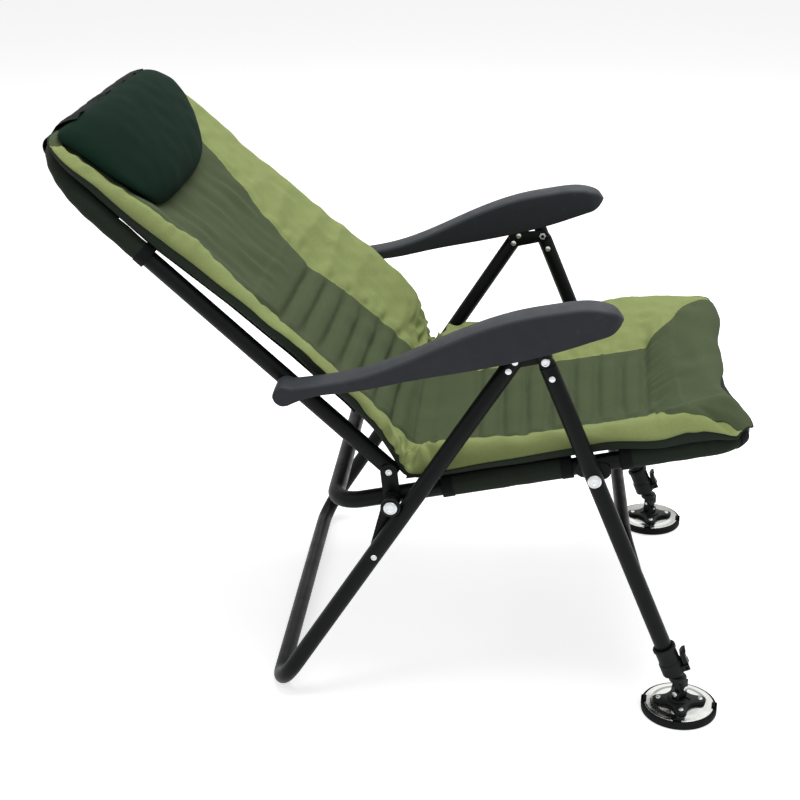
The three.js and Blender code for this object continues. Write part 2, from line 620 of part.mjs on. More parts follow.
const backPadThickness = (up) => THREE.MathUtils.lerp(
  BACK_PAD_THICKNESS, HEAD_PAD_THICKNESS, THREE.MathUtils.clamp((up - HEAD_PAD_FROM) / HEAD_PAD_RUN, 0, 1),
);
add(backFrame, 'backrest_cushion', closed(padded({
  rows: backRows,
  edge: PAD_EDGE,
  toPoint: (row, y, depth) => at(depth, -y, row),
  halfWidth: backPadTopCorner,
  back: backPadRear,
  front: (up) => backPadRear(up) + backPadThickness(up),
  crown: () => BACK_PAD_CROWN,
  channel: channelDip(BACK_CHANNELS_FROM, BACK_CHANNELS_TO, BACK_CHANNEL_COUNT),
})), lightFabric);

// Head pillow: wide along the top edge of the backrest, narrower below
const PILLOW_OVERHANG = 8;
const PILLOW_HEIGHT = 170;
const PILLOW_TO = BACK_LENGTH + PILLOW_OVERHANG;
const PILLOW_FROM = PILLOW_TO - PILLOW_HEIGHT;
const PILLOW_THICKNESS = 44;
const PILLOW_CROWN = 12;
const PILLOW_TOP_HALF_WIDTH = 236;
const PILLOW_LOW_HALF_WIDTH = 110;
const PILLOW_EDGE = 42;
const pillowHalfWidth = (up) => {
  const share = (up - PILLOW_FROM) / (PILLOW_TO - PILLOW_FROM);
  const spread = PILLOW_TOP_HALF_WIDTH - PILLOW_LOW_HALF_WIDTH;
  return PILLOW_LOW_HALF_WIDTH + spread * Math.sin((Math.PI / 2) * share);
};
const pillowRear = (up) => backPadRear(up) + HEAD_PAD_THICKNESS + BACK_PAD_CROWN + GAP;
const pillowMiddleRows = evenRows(PILLOW_FROM + PILLOW_EDGE, PILLOW_TO - PILLOW_EDGE, 5).slice(1);
add(backFrame, 'head_pillow', closed(padded({
  rows: padRows(PILLOW_FROM, PILLOW_TO, PILLOW_EDGE, pillowMiddleRows),
  edge: PILLOW_EDGE,
  toPoint: (row, y, depth) => at(depth, -y, row),
  halfWidth: pillowHalfWidth,
  back: pillowRear,
  front: (up) => pillowRear(up) + PILLOW_THICKNESS,
  crown: () => PILLOW_CROWN,
  channel: () => 0,
})), pillowFabric);

// Elastic band that runs over the top of the backrest and holds the pillow
const BAND_THICKNESS = 1.6;
const BAND_HALF_WIDTH = 190;
const BAND_TAIL = 60;
const BAND_STEPS = 6;
const bandFront = pillowRear(PILLOW_TO) + PILLOW_THICKNESS / 2;
function bandEdge(radius) {
  const turn = Array.from({ length: BAND_STEPS + 1 }, (_, i) => Math.PI - (i * Math.PI) / (2 * BAND_STEPS));
  return [
    new THREE.Vector2(-radius, BACK_LENGTH - BAND_TAIL),
    ...turn.map((angle) => new THREE.Vector2(Math.cos(angle), Math.sin(angle)).multiplyScalar(radius)
      .add(new THREE.Vector2(0, BACK_LENGTH))),
    new THREE.Vector2(bandFront, BACK_LENGTH + radius),
  ];
}
const bandRadius = SLEEVE_RADIUS + 2 * GAP;
const bandOutline = new THREE.Shape([
  ...bandEdge(bandRadius), ...bandEdge(bandRadius + BAND_THICKNESS).reverse(),
]);
add(backFrame, 'pillow_band', slab(bandOutline, -BAND_HALF_WIDTH, BAND_HALF_WIDTH, 1), webbing);

// Armrests: a moulded shell with an open channel underneath, a round pivot lobe at the rear
const ARM_INNER = SEAT_TUBE_OUTER + 2 * GAP;
const ARM_WIDTH = 48;
const ARM_OUTER = ARM_INNER + ARM_WIDTH;
const ARM_CHEEK = 2.8;
const ARM_ROOF = 9;
const ARM_NOSE = 14;
const ARM_FRONT_REACH = 103.6;
const ARM_RISE = 133;
const ARM_LOBE_RADIUS = 15;
const ARM_BEVEL = 3;
const ARM_CHANNEL_FROM = 95;
const ARM_PIVOT_DEPTH = 24;

// Profile points: 0 to 1 runs from the pivot to the leg top and 1 to 2 from there to the tip,
// by shares of the rise
const armTopShares = [
  [0.026, 0.09], [0.154, 0.14], [0.283, 0.215], [0.386, 0.31], [0.485, 0.425], [0.603, 0.575],
  [0.754, 0.755], [0.905, 0.887], [1.189, 0.965], [1.619, 0.995], [1.843, 0.96], [1.955, 0.905],
];
const armTipShares = [
  [2, 0.855], [1.955, 0.8],
];
const armUnderShares = [
  [1.753, 0.7], [1.283, 0.57], [0.915, 0.44], [0.682, 0.3], [0.458, 0.18], [0.258, 0.06],
  [0.077, -0.03],
];
const ARM_TOP_STEPS = 18;
const ARM_UNDER_STEPS = 9;
const armLatch = legTop.x - armPivot.x;
const armPoint = ([x, z]) => new THREE.Vector2(
  Math.min(x, 1) * armLatch + Math.max(x - 1, 0) * ARM_FRONT_REACH, z * ARM_RISE,
);
const armTop = new THREE.SplineCurve(armTopShares.map(armPoint)).getSpacedPoints(ARM_TOP_STEPS);
const armUnder = new THREE.SplineCurve(armUnderShares.map(armPoint)).getSpacedPoints(ARM_UNDER_STEPS);

function armOutline() {
  const shape = new THREE.Shape();
  shape.absarc(0, 0, ARM_LOBE_RADIUS, Math.PI / 2, 2 * Math.PI - Math.PI / 6);
  for (const point of armUnder.toReversed()) shape.lineTo(point.x, point.y);
  for (const point of armTipShares.map(armPoint).reverse()) shape.lineTo(point.x, point.y);
  for (const point of armTop.toReversed()) shape.lineTo(point.x, point.y);
  return shape;
}

function armChannelOutline() {
  const front = armLatch + ARM_FRONT_REACH - ARM_NOSE;
  const roof = armTop.filter((point) => point.x > ARM_CHANNEL_FROM + ARM_ROOF && point.x < front - ARM_ROOF);
  const shape = new THREE.Shape();
  shape.moveTo(ARM_CHANNEL_FROM, -ARM_RISE);
  shape.lineTo(front, -ARM_RISE);
  shape.lineTo(front, roof[roof.length - 1].y - 2 * ARM_ROOF);
  for (const point of roof.toReversed()) shape.lineTo(point.x, point.y - ARM_ROOF);
  shape.lineTo(ARM_CHANNEL_FROM, roof[0].y - 2 * ARM_ROOF);
  return shape;
}

function armShell(side) {
  const body = new THREE.ExtrudeGeometry(armOutline(), {
    depth: ARM_WIDTH - 2 * ARM_BEVEL, bevelEnabled: true, bevelThickness: ARM_BEVEL, bevelSize: ARM_BEVEL,
    bevelOffset: -ARM_BEVEL, bevelSegments: 1, curveSegments: TUBE_SIDES / 2,
  }).rotateX(Math.PI / 2).translate(0, side > 0 ? ARM_OUTER - ARM_BEVEL : -ARM_INNER - ARM_BEVEL, 0);
  return cut(
    body,
    slab(armChannelOutline(), ARM_INNER + ARM_CHEEK, ARM_OUTER - ARM_CHEEK, side),
    barY(0, 0, BOLT_HOLE, ARM_INNER - OVERRUN, ARM_INNER + ARM_PIVOT_DEPTH, side),
  );
}

// A steel rack with notches under the armrest roof, which the leg top engages
const RACK_THICKNESS = 2;
const RACK_HEIGHT = 16;
const RACK_BEHIND_LATCH = 110;
const RACK_AHEAD_OF_LATCH = 32;
const RACK_PITCH = 24;
const RACK_NOTCH_RADIUS = 4;
const rackFrom = armLatch - RACK_BEHIND_LATCH;
const rackTo = armLatch + RACK_AHEAD_OF_LATCH;
const rackY = ARM_INNER + ARM_CHEEK + GAP;
function rackRoof(x) {
  const index = armTop.findIndex((point) => point.x > x);
  const before = armTop[index - 1];
  const after = armTop[index];
  const share = (x - before.x) / (after.x - before.x);
  return before.y + (after.y - before.y) * share - ARM_ROOF - GAP;
}

function rack(side) {
  const low = new THREE.Shape([
    new THREE.Vector2(rackFrom, rackRoof(rackFrom) - RACK_HEIGHT),
    new THREE.Vector2(rackTo, rackRoof(rackTo) - RACK_HEIGHT),
    new THREE.Vector2(rackTo, rackRoof(rackTo) - GAP),
    new THREE.Vector2((rackFrom + rackTo) / 2, rackRoof((rackFrom + rackTo) / 2) - GAP),
    new THREE.Vector2(rackFrom, rackRoof(rackFrom) - GAP),
  ]);
  const count = Math.floor((rackTo - rackFrom) / RACK_PITCH);
  const notches = Array.from({ length: count }, (_, i) => {
    const x = rackFrom + RACK_PITCH * (i + 0.5);
    const share = (x - rackFrom) / (rackTo - rackFrom);
    const z = rackRoof(rackFrom) + (rackRoof(rackTo) - rackRoof(rackFrom)) * share - RACK_HEIGHT;
    return barY(x, z, RACK_NOTCH_RADIUS, rackY - OVERRUN, rackY + RACK_THICKNESS + OVERRUN, side, 8);
  });
  return cut(slab(low, rackY, rackY + RACK_THICKNESS, side), ...notches);
}

const armBoltHeadAt = SEAT_TUBE_INNER - GAP - PIVOT_HEAD_HEIGHT;
for (const [name, side] of sides) {
  add(armFrame, `armrest_${name}`, armShell(side), armPlastic);
  add(armFrame, `armrest_rack_${name}`, rack(side), zincSteel);
  add(backFrame, `armrest_pivot_bolt_${name}`, join(
    barY(0, ARM_PIVOT_UP, SMALL_HEAD_RADIUS, armBoltHeadAt, armBoltHeadAt + PIVOT_HEAD_HEIGHT, side),
    barY(0, ARM_PIVOT_UP, BOLT_RADIUS, armBoltHeadAt, ARM_INNER + ARM_PIVOT_DEPTH - GAP, side),
  ), zincSteel);
}

// Front legs: straight tubes on the lugs, a plug in each top, a lock collar at each lower end
const LEG_END_BELOW_PIVOT = 9;
const LEG_TUBE_TOP = LEG_TOP_PIVOT - LEG_END_BELOW_PIVOT;
const EXTENSION_SHOWN = 66;
const LEG_TUBE_BOTTOM = EXTENSION_SHOWN - legDrop;
const PLUG_RISE = 30;
const PLUG_DEPTH = 46;
const PLUG_TOP = LEG_TOP_PIVOT + PLUG_RISE;
const PLUG_BOTTOM = LEG_TOP_PIVOT - PLUG_DEPTH;
const PLUG_HEAD_RADIUS = 10.6;
const PLUG_TIP_RADIUS = 7;
const PLUG_RIVET_DEPTH = 26;
const PLUG_RIVET = LEG_TOP_PIVOT - PLUG_RIVET_DEPTH;
const LEG_BORE = TUBE_RADIUS - TUBE_WALL;
const plugRadius = LEG_BORE - RUNNING_GAP;

function frontLeg(side) {
  const y = side * LEG_TUBE_Y;
  return cut(
    straightTube(at(0, y, LEG_TUBE_BOTTOM), at(0, y, LEG_TUBE_TOP), TUBE_RADIUS, LEG_BORE),
    barY(0, 0, BOLT_HOLE, LEG_TUBE_INNER - OVERRUN, LEG_TUBE_OUTER + OVERRUN, side),
    barY(0, PLUG_RIVET, RIVET_HOLE, LEG_TUBE_INNER - OVERRUN, LEG_TUBE_OUTER + OVERRUN, side),
  );
}

function legPlug(side) {
  const profile = [
    [0, PLUG_BOTTOM], [plugRadius, PLUG_BOTTOM], [plugRadius, LEG_TUBE_TOP + GAP],
    [PLUG_HEAD_RADIUS, LEG_TUBE_TOP + GAP], [PLUG_HEAD_RADIUS, PLUG_TOP - PLUG_HEAD_RADIUS + PLUG_TIP_RADIUS],
    [PLUG_TIP_RADIUS, PLUG_TOP], [0, PLUG_TOP],
  ];
  const body = new THREE.LatheGeometry(profile.map(([r, z]) => new THREE.Vector2(r, z)), TUBE_SIDES)
    .rotateX(Math.PI / 2).translate(0, side * LEG_TUBE_Y, 0);
  const rivetFrom = LEG_TUBE_INNER - GAP;
  const rivetTo = LEG_TUBE_OUTER + GAP;
  return cut(
    join(body, rivet({ x: 0, z: PLUG_RIVET, from: rivetFrom, to: rivetTo }, side)),
    barY(0, LEG_TOP_PIVOT, BOLT_HOLE, LEG_TUBE_INNER - OVERRUN, LEG_TUBE_OUTER + OVERRUN, side),
  );
}

for (const [name, side] of sides) {
  add(legFrame, `front_leg_${name}`, frontLeg(side), paint);
  add(legFrame, `front_leg_plug_${name}`, legPlug(side), castBlack);
}

// Cross tube between the front legs: its ends curve down and are notched to the leg tubes
const CROSS_RADIUS = 10;
const CROSS_END = -187;
const CROSS_RUN = -137;
const CROSS_CORNER_Y = 236;
const CROSS_BEND_RADIUS = 60;
const crossPath = new BentPath([
  at(0, -LEG_TUBE_Y, CROSS_END), at(0, -CROSS_CORNER_Y, CROSS_RUN),
  at(0, CROSS_CORNER_Y, CROSS_RUN), at(0, LEG_TUBE_Y, CROSS_END),
], CROSS_BEND_RADIUS);
const crossSaddles = sides.map(([, side]) => straightTube(
  at(0, side * LEG_TUBE_Y, CROSS_END - 6 * TUBE_RADIUS),
  at(0, side * LEG_TUBE_Y, CROSS_END + 6 * TUBE_RADIUS),
  TUBE_RADIUS + 2 * GAP,
));
const crossTrims = sides.map(([, side]) => (
  new THREE.BoxGeometry(6 * TUBE_RADIUS, TUBE_RADIUS * 4, 12 * TUBE_RADIUS)
    .translate(0, side * (LEG_TUBE_Y + TUBE_RADIUS * 2), CROSS_END)
));
add(legFrame, 'front_cross_tube', cut(
  tube(crossPath, CROSS_RADIUS, CROSS_RADIUS - TUBE_WALL), ...crossSaddles, ...crossTrims,
), paint);

for (const [name, side] of sides) {
  add(legFrame, `front_pivot_bolt_${name}`, bolt({
    x: 0, z: 0, headAt: LEG_TUBE_OUTER + GAP, headRadius: PIVOT_HEAD_RADIUS, headHeight: PIVOT_HEAD_HEIGHT,
    tipAt: nutAt, nutAt,
  }, side), zincSteel);
  add(legFrame, `front_pivot_spacer_${name}`, washer(
    0, 0, SPACER_RADIUS, BOLT_HOLE, SEAT_PLATE_OUTER + GAP, LEG_TUBE_INNER - GAP, side,
  ), castBlack);
  add(legFrame, `leg_top_bolt_${name}`, bolt({
    x: 0, z: LEG_TOP_PIVOT, headAt: LEG_TUBE_Y + PLUG_HEAD_RADIUS + GAP, headRadius: SMALL_HEAD_RADIUS,
    headHeight: PIVOT_HEAD_HEIGHT, tipAt: LEG_PLATE_INNER - GAP - TOP_NUT_HEIGHT,
    nutAt: LEG_PLATE_INNER - GAP - TOP_NUT_HEIGHT, nutHeight: TOP_NUT_HEIGHT,
  }, side), zincSteel);
}

// Lock collars: a clamp on the end of each leg tube, with ears for the lock lever in front
const COLLAR_OVERLAP = 7;
const COLLAR_DROP = 40;
const COLLAR_TOP = LEG_TUBE_BOTTOM + COLLAR_OVERLAP;
const COLLAR_BOTTOM = LEG_TUBE_BOTTOM - COLLAR_DROP;
const COLLAR_RADIUS = 15.6;
const COLLAR_LIP = 17.2;
const COLLAR_LIP_HEIGHT = 5;
const CLAMP_HEIGHT = 20;
const EXTENSION_RADIUS = LEG_BORE - RUNNING_GAP;
const LEVER_X = 21;
const LEVER_RISE = 7;
const LEVER_Z = COLLAR_BOTTOM + LEVER_RISE;
const LEVER_HALF_WIDTH = 9;
const LEVER_EAR = 3;
const LEVER_EAR_LENGTH = 14;
const LEVER_EAR_HEIGHT = 9;
const LEVER_PIN_RADIUS = 2;
const LEVER_LENGTH = 26;
const LEVER_THICKNESS = 7;
const LEVER_TOE_SHARE = 0.25;

function collar(side) {
  const seat = LEG_TUBE_BOTTOM - GAP;
  const collarSocket = TUBE_RADIUS + RUNNING_GAP;
  const ring = turned([
    [LEG_BORE, COLLAR_BOTTOM], [COLLAR_LIP, COLLAR_BOTTOM], [COLLAR_LIP, COLLAR_BOTTOM + CLAMP_HEIGHT],
    [COLLAR_RADIUS, COLLAR_BOTTOM + CLAMP_HEIGHT], [COLLAR_RADIUS, COLLAR_TOP - COLLAR_LIP_HEIGHT],
    [COLLAR_LIP, COLLAR_TOP - COLLAR_LIP_HEIGHT], [COLLAR_LIP, COLLAR_TOP], [collarSocket, COLLAR_TOP],
    [collarSocket, seat], [LEG_BORE, seat], [LEG_BORE, COLLAR_BOTTOM],
  ], TUBE_SIDES);
  const earX = LEVER_X + (LEVER_EAR_HEIGHT - LEVER_EAR_LENGTH) / 2;
  const ears = [1, -1].map((end) => new THREE.BoxGeometry(LEVER_EAR_LENGTH, LEVER_EAR, LEVER_EAR_HEIGHT)
    .translate(earX, end * (LEVER_HALF_WIDTH + GAP + LEVER_EAR / 2), LEVER_Z));
  const bore = straightTube(at(0, 0, COLLAR_BOTTOM - OVERRUN), at(0, 0, COLLAR_TOP + OVERRUN), LEG_BORE);
  const socket = straightTube(at(0, 0, seat), at(0, 0, COLLAR_TOP + OVERRUN), collarSocket);
  const pinHole = new THREE.CylinderGeometry(
    LEVER_PIN_RADIUS + GAP, LEVER_PIN_RADIUS + GAP, 4 * LEVER_HALF_WIDTH, 8,
  ).translate(LEVER_X, 0, LEVER_Z);
  return cut(join(ring, ...ears), bore, socket, pinHole).translate(0, side * LEG_TUBE_Y, 0);
}

function lockLever(side) {
  const inner = COLLAR_LIP + 2 * GAP - LEVER_X;
  const outline = new THREE.Shape();
  outline.moveTo(inner, 0);
  outline.lineTo(inner * LEVER_TOE_SHARE, -LEVER_THICKNESS / 2);
  outline.lineTo(inner + LEVER_THICKNESS, -LEVER_THICKNESS / 2);
  outline.lineTo(inner + LEVER_THICKNESS, LEVER_LENGTH * 0.7);
  outline.lineTo(inner + LEVER_THICKNESS * 1.5, LEVER_LENGTH);
  outline.lineTo(inner + LEVER_THICKNESS * 0.8, LEVER_LENGTH);
  outline.lineTo(inner, LEVER_LENGTH * 0.8);
  const body = slab(outline, -LEVER_HALF_WIDTH, LEVER_HALF_WIDTH, 1);
  const pinLength = 2 * (LEVER_HALF_WIDTH + GAP + LEVER_EAR);
  const pin = new THREE.CylinderGeometry(LEVER_PIN_RADIUS, LEVER_PIN_RADIUS, pinLength, 8);
  return join(body, pin).translate(LEVER_X, side * LEG_TUBE_Y, LEVER_Z);
}

for (const [name, side] of sides) {
  add(legFrame, `lock_collar_${name}`, collar(side), castBlack);
  add(legFrame, `lock_lever_${name}`, lockLever(side), castBlack);
}

// Rear leg: one U tube whose lower run lies on the floor, with brackets at the pivots and hooks at the tops
const strutDrop = REAR_PIVOT_HEIGHT - TUBE_RADIUS - STRUT_OFFSET * Math.sin(STRUT_LEAN);
const strutRun = strutDrop / Math.cos(STRUT_LEAN);
const rearPath = new BentPath([
  at(STRUT_OFFSET, -LEG_TUBE_Y, STRUT_TOP), at(STRUT_OFFSET, -LEG_TUBE_Y, -strutRun),
  at(STRUT_OFFSET, LEG_TUBE_Y, -strutRun), at(STRUT_OFFSET, LEG_TUBE_Y, STRUT_TOP),
], REAR_BEND_RADIUS);

// The hook eye lies round the leg top pivot, as the leaning rear leg sees it
const hookRise = legTop.z - REAR_PIVOT_HEIGHT;
const hookEye = {
  x: legTop.x * Math.cos(STRUT_LEAN) - hookRise * Math.sin(STRUT_LEAN),
  z: legTop.x * Math.sin(STRUT_LEAN) + hookRise * Math.cos(STRUT_LEAN),
  radius: HOOK_EYE_RADIUS,
};
const hookRoot = { x: STRUT_OFFSET, z: STRUT_TOP - HOOK_ROOT_BELOW, radius: TUBE_RADIUS };
const hookRivets = [hookRoot.z + HOOK_RIVET_PITCH / 2, hookRoot.z - HOOK_RIVET_PITCH / 2];

const rearDrills = sides.flatMap(([, side]) => [-STRUT_RIVET_BELOW, ...hookRivets].map(
  (z) => barY(STRUT_OFFSET, z, RIVET_HOLE, LEG_TUBE_INNER - OVERRUN, LEG_TUBE_OUTER + OVERRUN, side),
));
const rearTube = tube(rearPath, TUBE_RADIUS, LEG_BORE);
add(strutFrame, 'rear_leg_frame', cut(rearTube, ...rearDrills), paint);

for (const [name, side] of sides) {
  const pivotEye = { x: 0, z: 0, radius: HINGE_EYE_RADIUS };
  const strutEye = { x: STRUT_OFFSET, z: -STRUT_RIVET_BELOW, radius: STRUT_EYE_RADIUS };
  add(strutFrame, `rear_leg_bracket_${name}`, cut(
    strap(pivotEye, strutEye, LEG_PLATE_INNER, LEG_PLATE_OUTER, side),
    barY(0, 0, BOLT_HOLE, SEAT_PLATE_OUTER, LEG_TUBE_INNER + OVERRUN, side),
    barY(strutEye.x, strutEye.z, RIVET_HOLE, SEAT_PLATE_OUTER, LEG_TUBE_INNER + OVERRUN, side),
  ), paint);
  add(strutFrame, `rear_leg_rivet_${name}`, rivet({
    x: strutEye.x, z: strutEye.z, from: LEG_PLATE_INNER - GAP, to: LEG_TUBE_OUTER + GAP,
  }, side), zincSteel);
  const slotWidth = 2 * (BOLT_RADIUS + HOOK_SLOT_CLEARANCE);
  const slot = new THREE.BoxGeometry(slotWidth, 4 * PLATE, 2 * HOOK_EYE_RADIUS)
    .translate(hookEye.x, side * LEG_PLATE_INNER, hookEye.z + HOOK_EYE_RADIUS);
  const studs = hookRivets.map((z) => rivet({
    x: STRUT_OFFSET, z, from: LEG_PLATE_INNER, to: LEG_TUBE_OUTER + GAP,
  }, side));
  add(strutFrame, `leg_hook_${name}`, cut(
    join(strap(hookRoot, hookEye, LEG_PLATE_INNER, LEG_PLATE_OUTER, side), ...studs),
    slot,
    barY(hookEye.x, hookEye.z, slotWidth / 2, SEAT_PLATE_OUTER, LEG_TUBE_INNER + OVERRUN, side),
  ), paint);
}

// Feet: a cross joint between the leg extension and a cast plate on a steel disc in a rubber pad
const FOOT_YAW = Math.PI / 4;
const PAD_RADIUS = 56;
const PAD_HEIGHT = 11;
const DISC_RADIUS = 51.5;
const DISC_THICKNESS = 2.6;
const DISC_EDGE = 1.4;
const TAB_HALF_WIDTH = 6;
const TAB_REACH = 8;
const TAB_TURN = THREE.MathUtils.degToRad(37);
const TAB_THICKNESS = 2;
const CAST_THICKNESS = 5.5;
const CAST_HUB_RADIUS = 17;
const LOBE_RADIUS = 8.5;
const LOBE_REACH = 31;
const CAST_WAIST = 22;
const WAIST_HALF_TURN = THREE.MathUtils.degToRad(14);
const LOBE_COUNT = 4;
const HUB_RISE = 3;
const EAR_GAP = 6.3;
const EAR_THICKNESS = 4;
const EAR_HALF_WIDTH = 5.8;
const LOWER_PIN_HEIGHT = 30;
const KNUCKLE_HALF = 6;
const PIN_RADIUS = 2.5;
const PIN_HEAD_RADIUS = 4.4;
const PIN_HEAD_HEIGHT = 1.8;
const FORK_DROP = 7;
const BRIDGE_RADIUS = 13;
const BRIDGE_SHIFT = 4;
const BRIDGE_FROM = 10;
const BRIDGE_HEIGHT = 9;
const EXTENSION_INSIDE = 130;
const EXTENSION_WALL = 1.4;
const SCREW_RADIUS = 2;
const SCREW_HEAD_RADIUS = 3.8;
const SCREW_HEAD_HEIGHT = 2.2;

const discFrom = PAD_HEIGHT + GAP;
const discTop = discFrom + DISC_THICKNESS;
const castFrom = discTop + GAP;
const castTop = castFrom + CAST_THICKNESS;
const lobeAngles = Array.from({ length: LOBE_COUNT }, (_, i) => FOOT_YAW + (i * 2 * Math.PI) / LOBE_COUNT);
const tabAngles = Array.from({ length: 4 }, (_, i) => (i * Math.PI) / 2 + TAB_TURN);

function rubberPad() {
  const pad = post(0, 0, PAD_RADIUS, 0, PAD_HEIGHT, 3 * SMALL_SIDES);
  const tabTop = discFrom + DISC_EDGE + 2 * GAP + TAB_THICKNESS;
  const upright = PAD_RADIUS - DISC_RADIUS - GAP;
  const tabs = tabAngles.flatMap((angle) => [
    new THREE.BoxGeometry(upright, 2 * TAB_HALF_WIDTH, tabTop - PAD_HEIGHT / 2)
      .translate(PAD_RADIUS - upright / 2, 0, (tabTop + PAD_HEIGHT / 2) / 2).rotateZ(angle),
    new THREE.BoxGeometry(TAB_REACH, 2 * TAB_HALF_WIDTH, TAB_THICKNESS)
      .translate(PAD_RADIUS - TAB_REACH / 2, 0, tabTop - TAB_THICKNESS / 2).rotateZ(angle),
  ]);
  return join(pad, ...tabs);
}

function steelDisc() {
  const disc = turned([
    [0, discFrom], [DISC_RADIUS, discFrom], [DISC_RADIUS, discFrom + DISC_EDGE],
    [DISC_RADIUS - 1.4 * TAB_REACH, discFrom + DISC_EDGE],
    [DISC_RADIUS - 2 * TAB_REACH, discTop], [0, discTop],
  ], 3 * SMALL_SIDES);
  const holes = lobeAngles.map((angle) => post(
    LOBE_REACH * Math.cos(angle), LOBE_REACH * Math.sin(angle), SCREW_RADIUS + GAP, 0, 2 * castTop, 8,
  ));
  return cut(disc, ...holes);
}

function footCasting() {
  const lobes = lobeAngles.map((angle) => post(
    LOBE_REACH * Math.cos(angle), LOBE_REACH * Math.sin(angle), LOBE_RADIUS, castFrom, castTop,
  ));
  const polar = (radius, angle) => new THREE.Vector2(radius * Math.cos(angle), radius * Math.sin(angle));
  const lobeTurn = Math.atan(LOBE_RADIUS / LOBE_REACH);
  const lobeEdge = Math.hypot(LOBE_REACH, LOBE_RADIUS);
  const web = new THREE.ExtrudeGeometry(new THREE.Shape(lobeAngles.flatMap((angle) => [
    polar(lobeEdge, angle - lobeTurn), polar(lobeEdge, angle + lobeTurn),
    polar(CAST_WAIST, angle + Math.PI / LOBE_COUNT - WAIST_HALF_TURN),
    polar(CAST_WAIST, angle + Math.PI / LOBE_COUNT + WAIST_HALF_TURN),
  ])), { depth: CAST_THICKNESS, bevelEnabled: false }).translate(0, 0, castFrom);
  const hub = post(0, 0, CAST_HUB_RADIUS, castFrom, castTop + HUB_RISE - GAP, TUBE_SIDES);
  const well = block(4 * KNUCKLE_HALF, 2 * EAR_GAP, castTop - HUB_RISE, castTop + 2 * HUB_RISE);
  const ears = [1, -1].map((end) => join(
    new THREE.BoxGeometry(2 * EAR_HALF_WIDTH, EAR_THICKNESS, LOWER_PIN_HEIGHT - castTop)
      .translate(0, end * (EAR_GAP + EAR_THICKNESS / 2), (LOWER_PIN_HEIGHT + castTop) / 2),
    new THREE.CylinderGeometry(EAR_HALF_WIDTH, EAR_HALF_WIDTH, EAR_THICKNESS, TUBE_SIDES)
      .translate(0, end * (EAR_GAP + EAR_THICKNESS / 2), LOWER_PIN_HEIGHT),
  ));
  const pinHole = new THREE.CylinderGeometry(PIN_RADIUS + GAP, PIN_RADIUS + GAP, 4 * CAST_HUB_RADIUS, 8)
    .translate(0, 0, LOWER_PIN_HEIGHT);
  const screws = lobeAngles.map((angle) => join(
    post(LOBE_REACH * Math.cos(angle), LOBE_REACH * Math.sin(angle), SCREW_RADIUS, discFrom, castTop),
    post(LOBE_REACH * Math.cos(angle), LOBE_REACH * Math.sin(angle), SCREW_HEAD_RADIUS,
      castFrom + GAP, castTop + SCREW_HEAD_HEIGHT),
  ));
  return cut(join(hub, web, ...lobes, ...ears, ...screws), well, pinHole);
}

// A headed pin along Y, or along X when turned
function headedPin(height, turnZ) {
  const reach = EAR_GAP + EAR_THICKNESS + GAP;
  return join(
    new THREE.CylinderGeometry(PIN_RADIUS, PIN_RADIUS, 2 * reach + PIN_HEAD_HEIGHT, 8),
    new THREE.CylinderGeometry(PIN_HEAD_RADIUS, PIN_HEAD_RADIUS, PIN_HEAD_HEIGHT, SMALL_SIDES)
      .translate(0, -reach - PIN_HEAD_HEIGHT / 2, 0),
  ).rotateZ(turnZ).translate(0, 0, height);
}

function knuckle() {
  const body = block(
    2 * KNUCKLE_HALF, 2 * KNUCKLE_HALF, LOWER_PIN_HEIGHT - KNUCKLE_HALF, FOOT_PIVOT_HEIGHT + KNUCKLE_HALF,
  );
  const lowerHole = new THREE.CylinderGeometry(PIN_RADIUS + GAP, PIN_RADIUS + GAP, 4 * KNUCKLE_HALF, 8)
    .translate(0, 0, LOWER_PIN_HEIGHT);
  const upperHole = new THREE.CylinderGeometry(PIN_RADIUS + GAP, PIN_RADIUS + GAP, 4 * KNUCKLE_HALF, 8)
    .rotateZ(Math.PI / 2).translate(0, 0, FOOT_PIVOT_HEIGHT);
  return cut(body, lowerHole, upperHole);
}

// The extension tube slides in the leg and ends in a fork that straddles the knuckle
function legExtension(yaw) {
  const ears = [1, -1].map((end) => join(
    new THREE.BoxGeometry(EAR_THICKNESS, 2 * EAR_HALF_WIDTH, BRIDGE_FROM + EAR_THICKNESS)
      .translate(end * (EAR_GAP + EAR_THICKNESS / 2), 0, (BRIDGE_FROM + EAR_THICKNESS) / 2),
    new THREE.CylinderGeometry(FORK_DROP, FORK_DROP, EAR_THICKNESS, TUBE_SIDES).rotateZ(Math.PI / 2)
      .scale(1, EAR_HALF_WIDTH / FORK_DROP, 1)
      .translate(end * (EAR_GAP + EAR_THICKNESS / 2), 0, 0),
  ));
  const pinHole = new THREE.CylinderGeometry(PIN_RADIUS + GAP, PIN_RADIUS + GAP, 4 * BRIDGE_RADIUS, 8)
    .rotateZ(Math.PI / 2);
  const fork = cut(join(...ears), pinHole).rotateZ(yaw);
  const bridge = post(-BRIDGE_SHIFT, 0, BRIDGE_RADIUS, BRIDGE_FROM, BRIDGE_FROM + BRIDGE_HEIGHT, TUBE_SIDES);
  const shaft = straightTube(
    at(0, 0, BRIDGE_FROM + BRIDGE_HEIGHT / 2), at(0, 0, EXTENSION_SHOWN + EXTENSION_INSIDE),
    EXTENSION_RADIUS,
  ).rotateY(-LEG_LEAN);
  const bore = straightTube(at(0, 0, 4 * BRIDGE_HEIGHT), at(0, 0, legDrop), EXTENSION_RADIUS - EXTENSION_WALL)
    .rotateY(-LEG_LEAN);
  return cut(join(fork, bridge, shaft), bore);
}

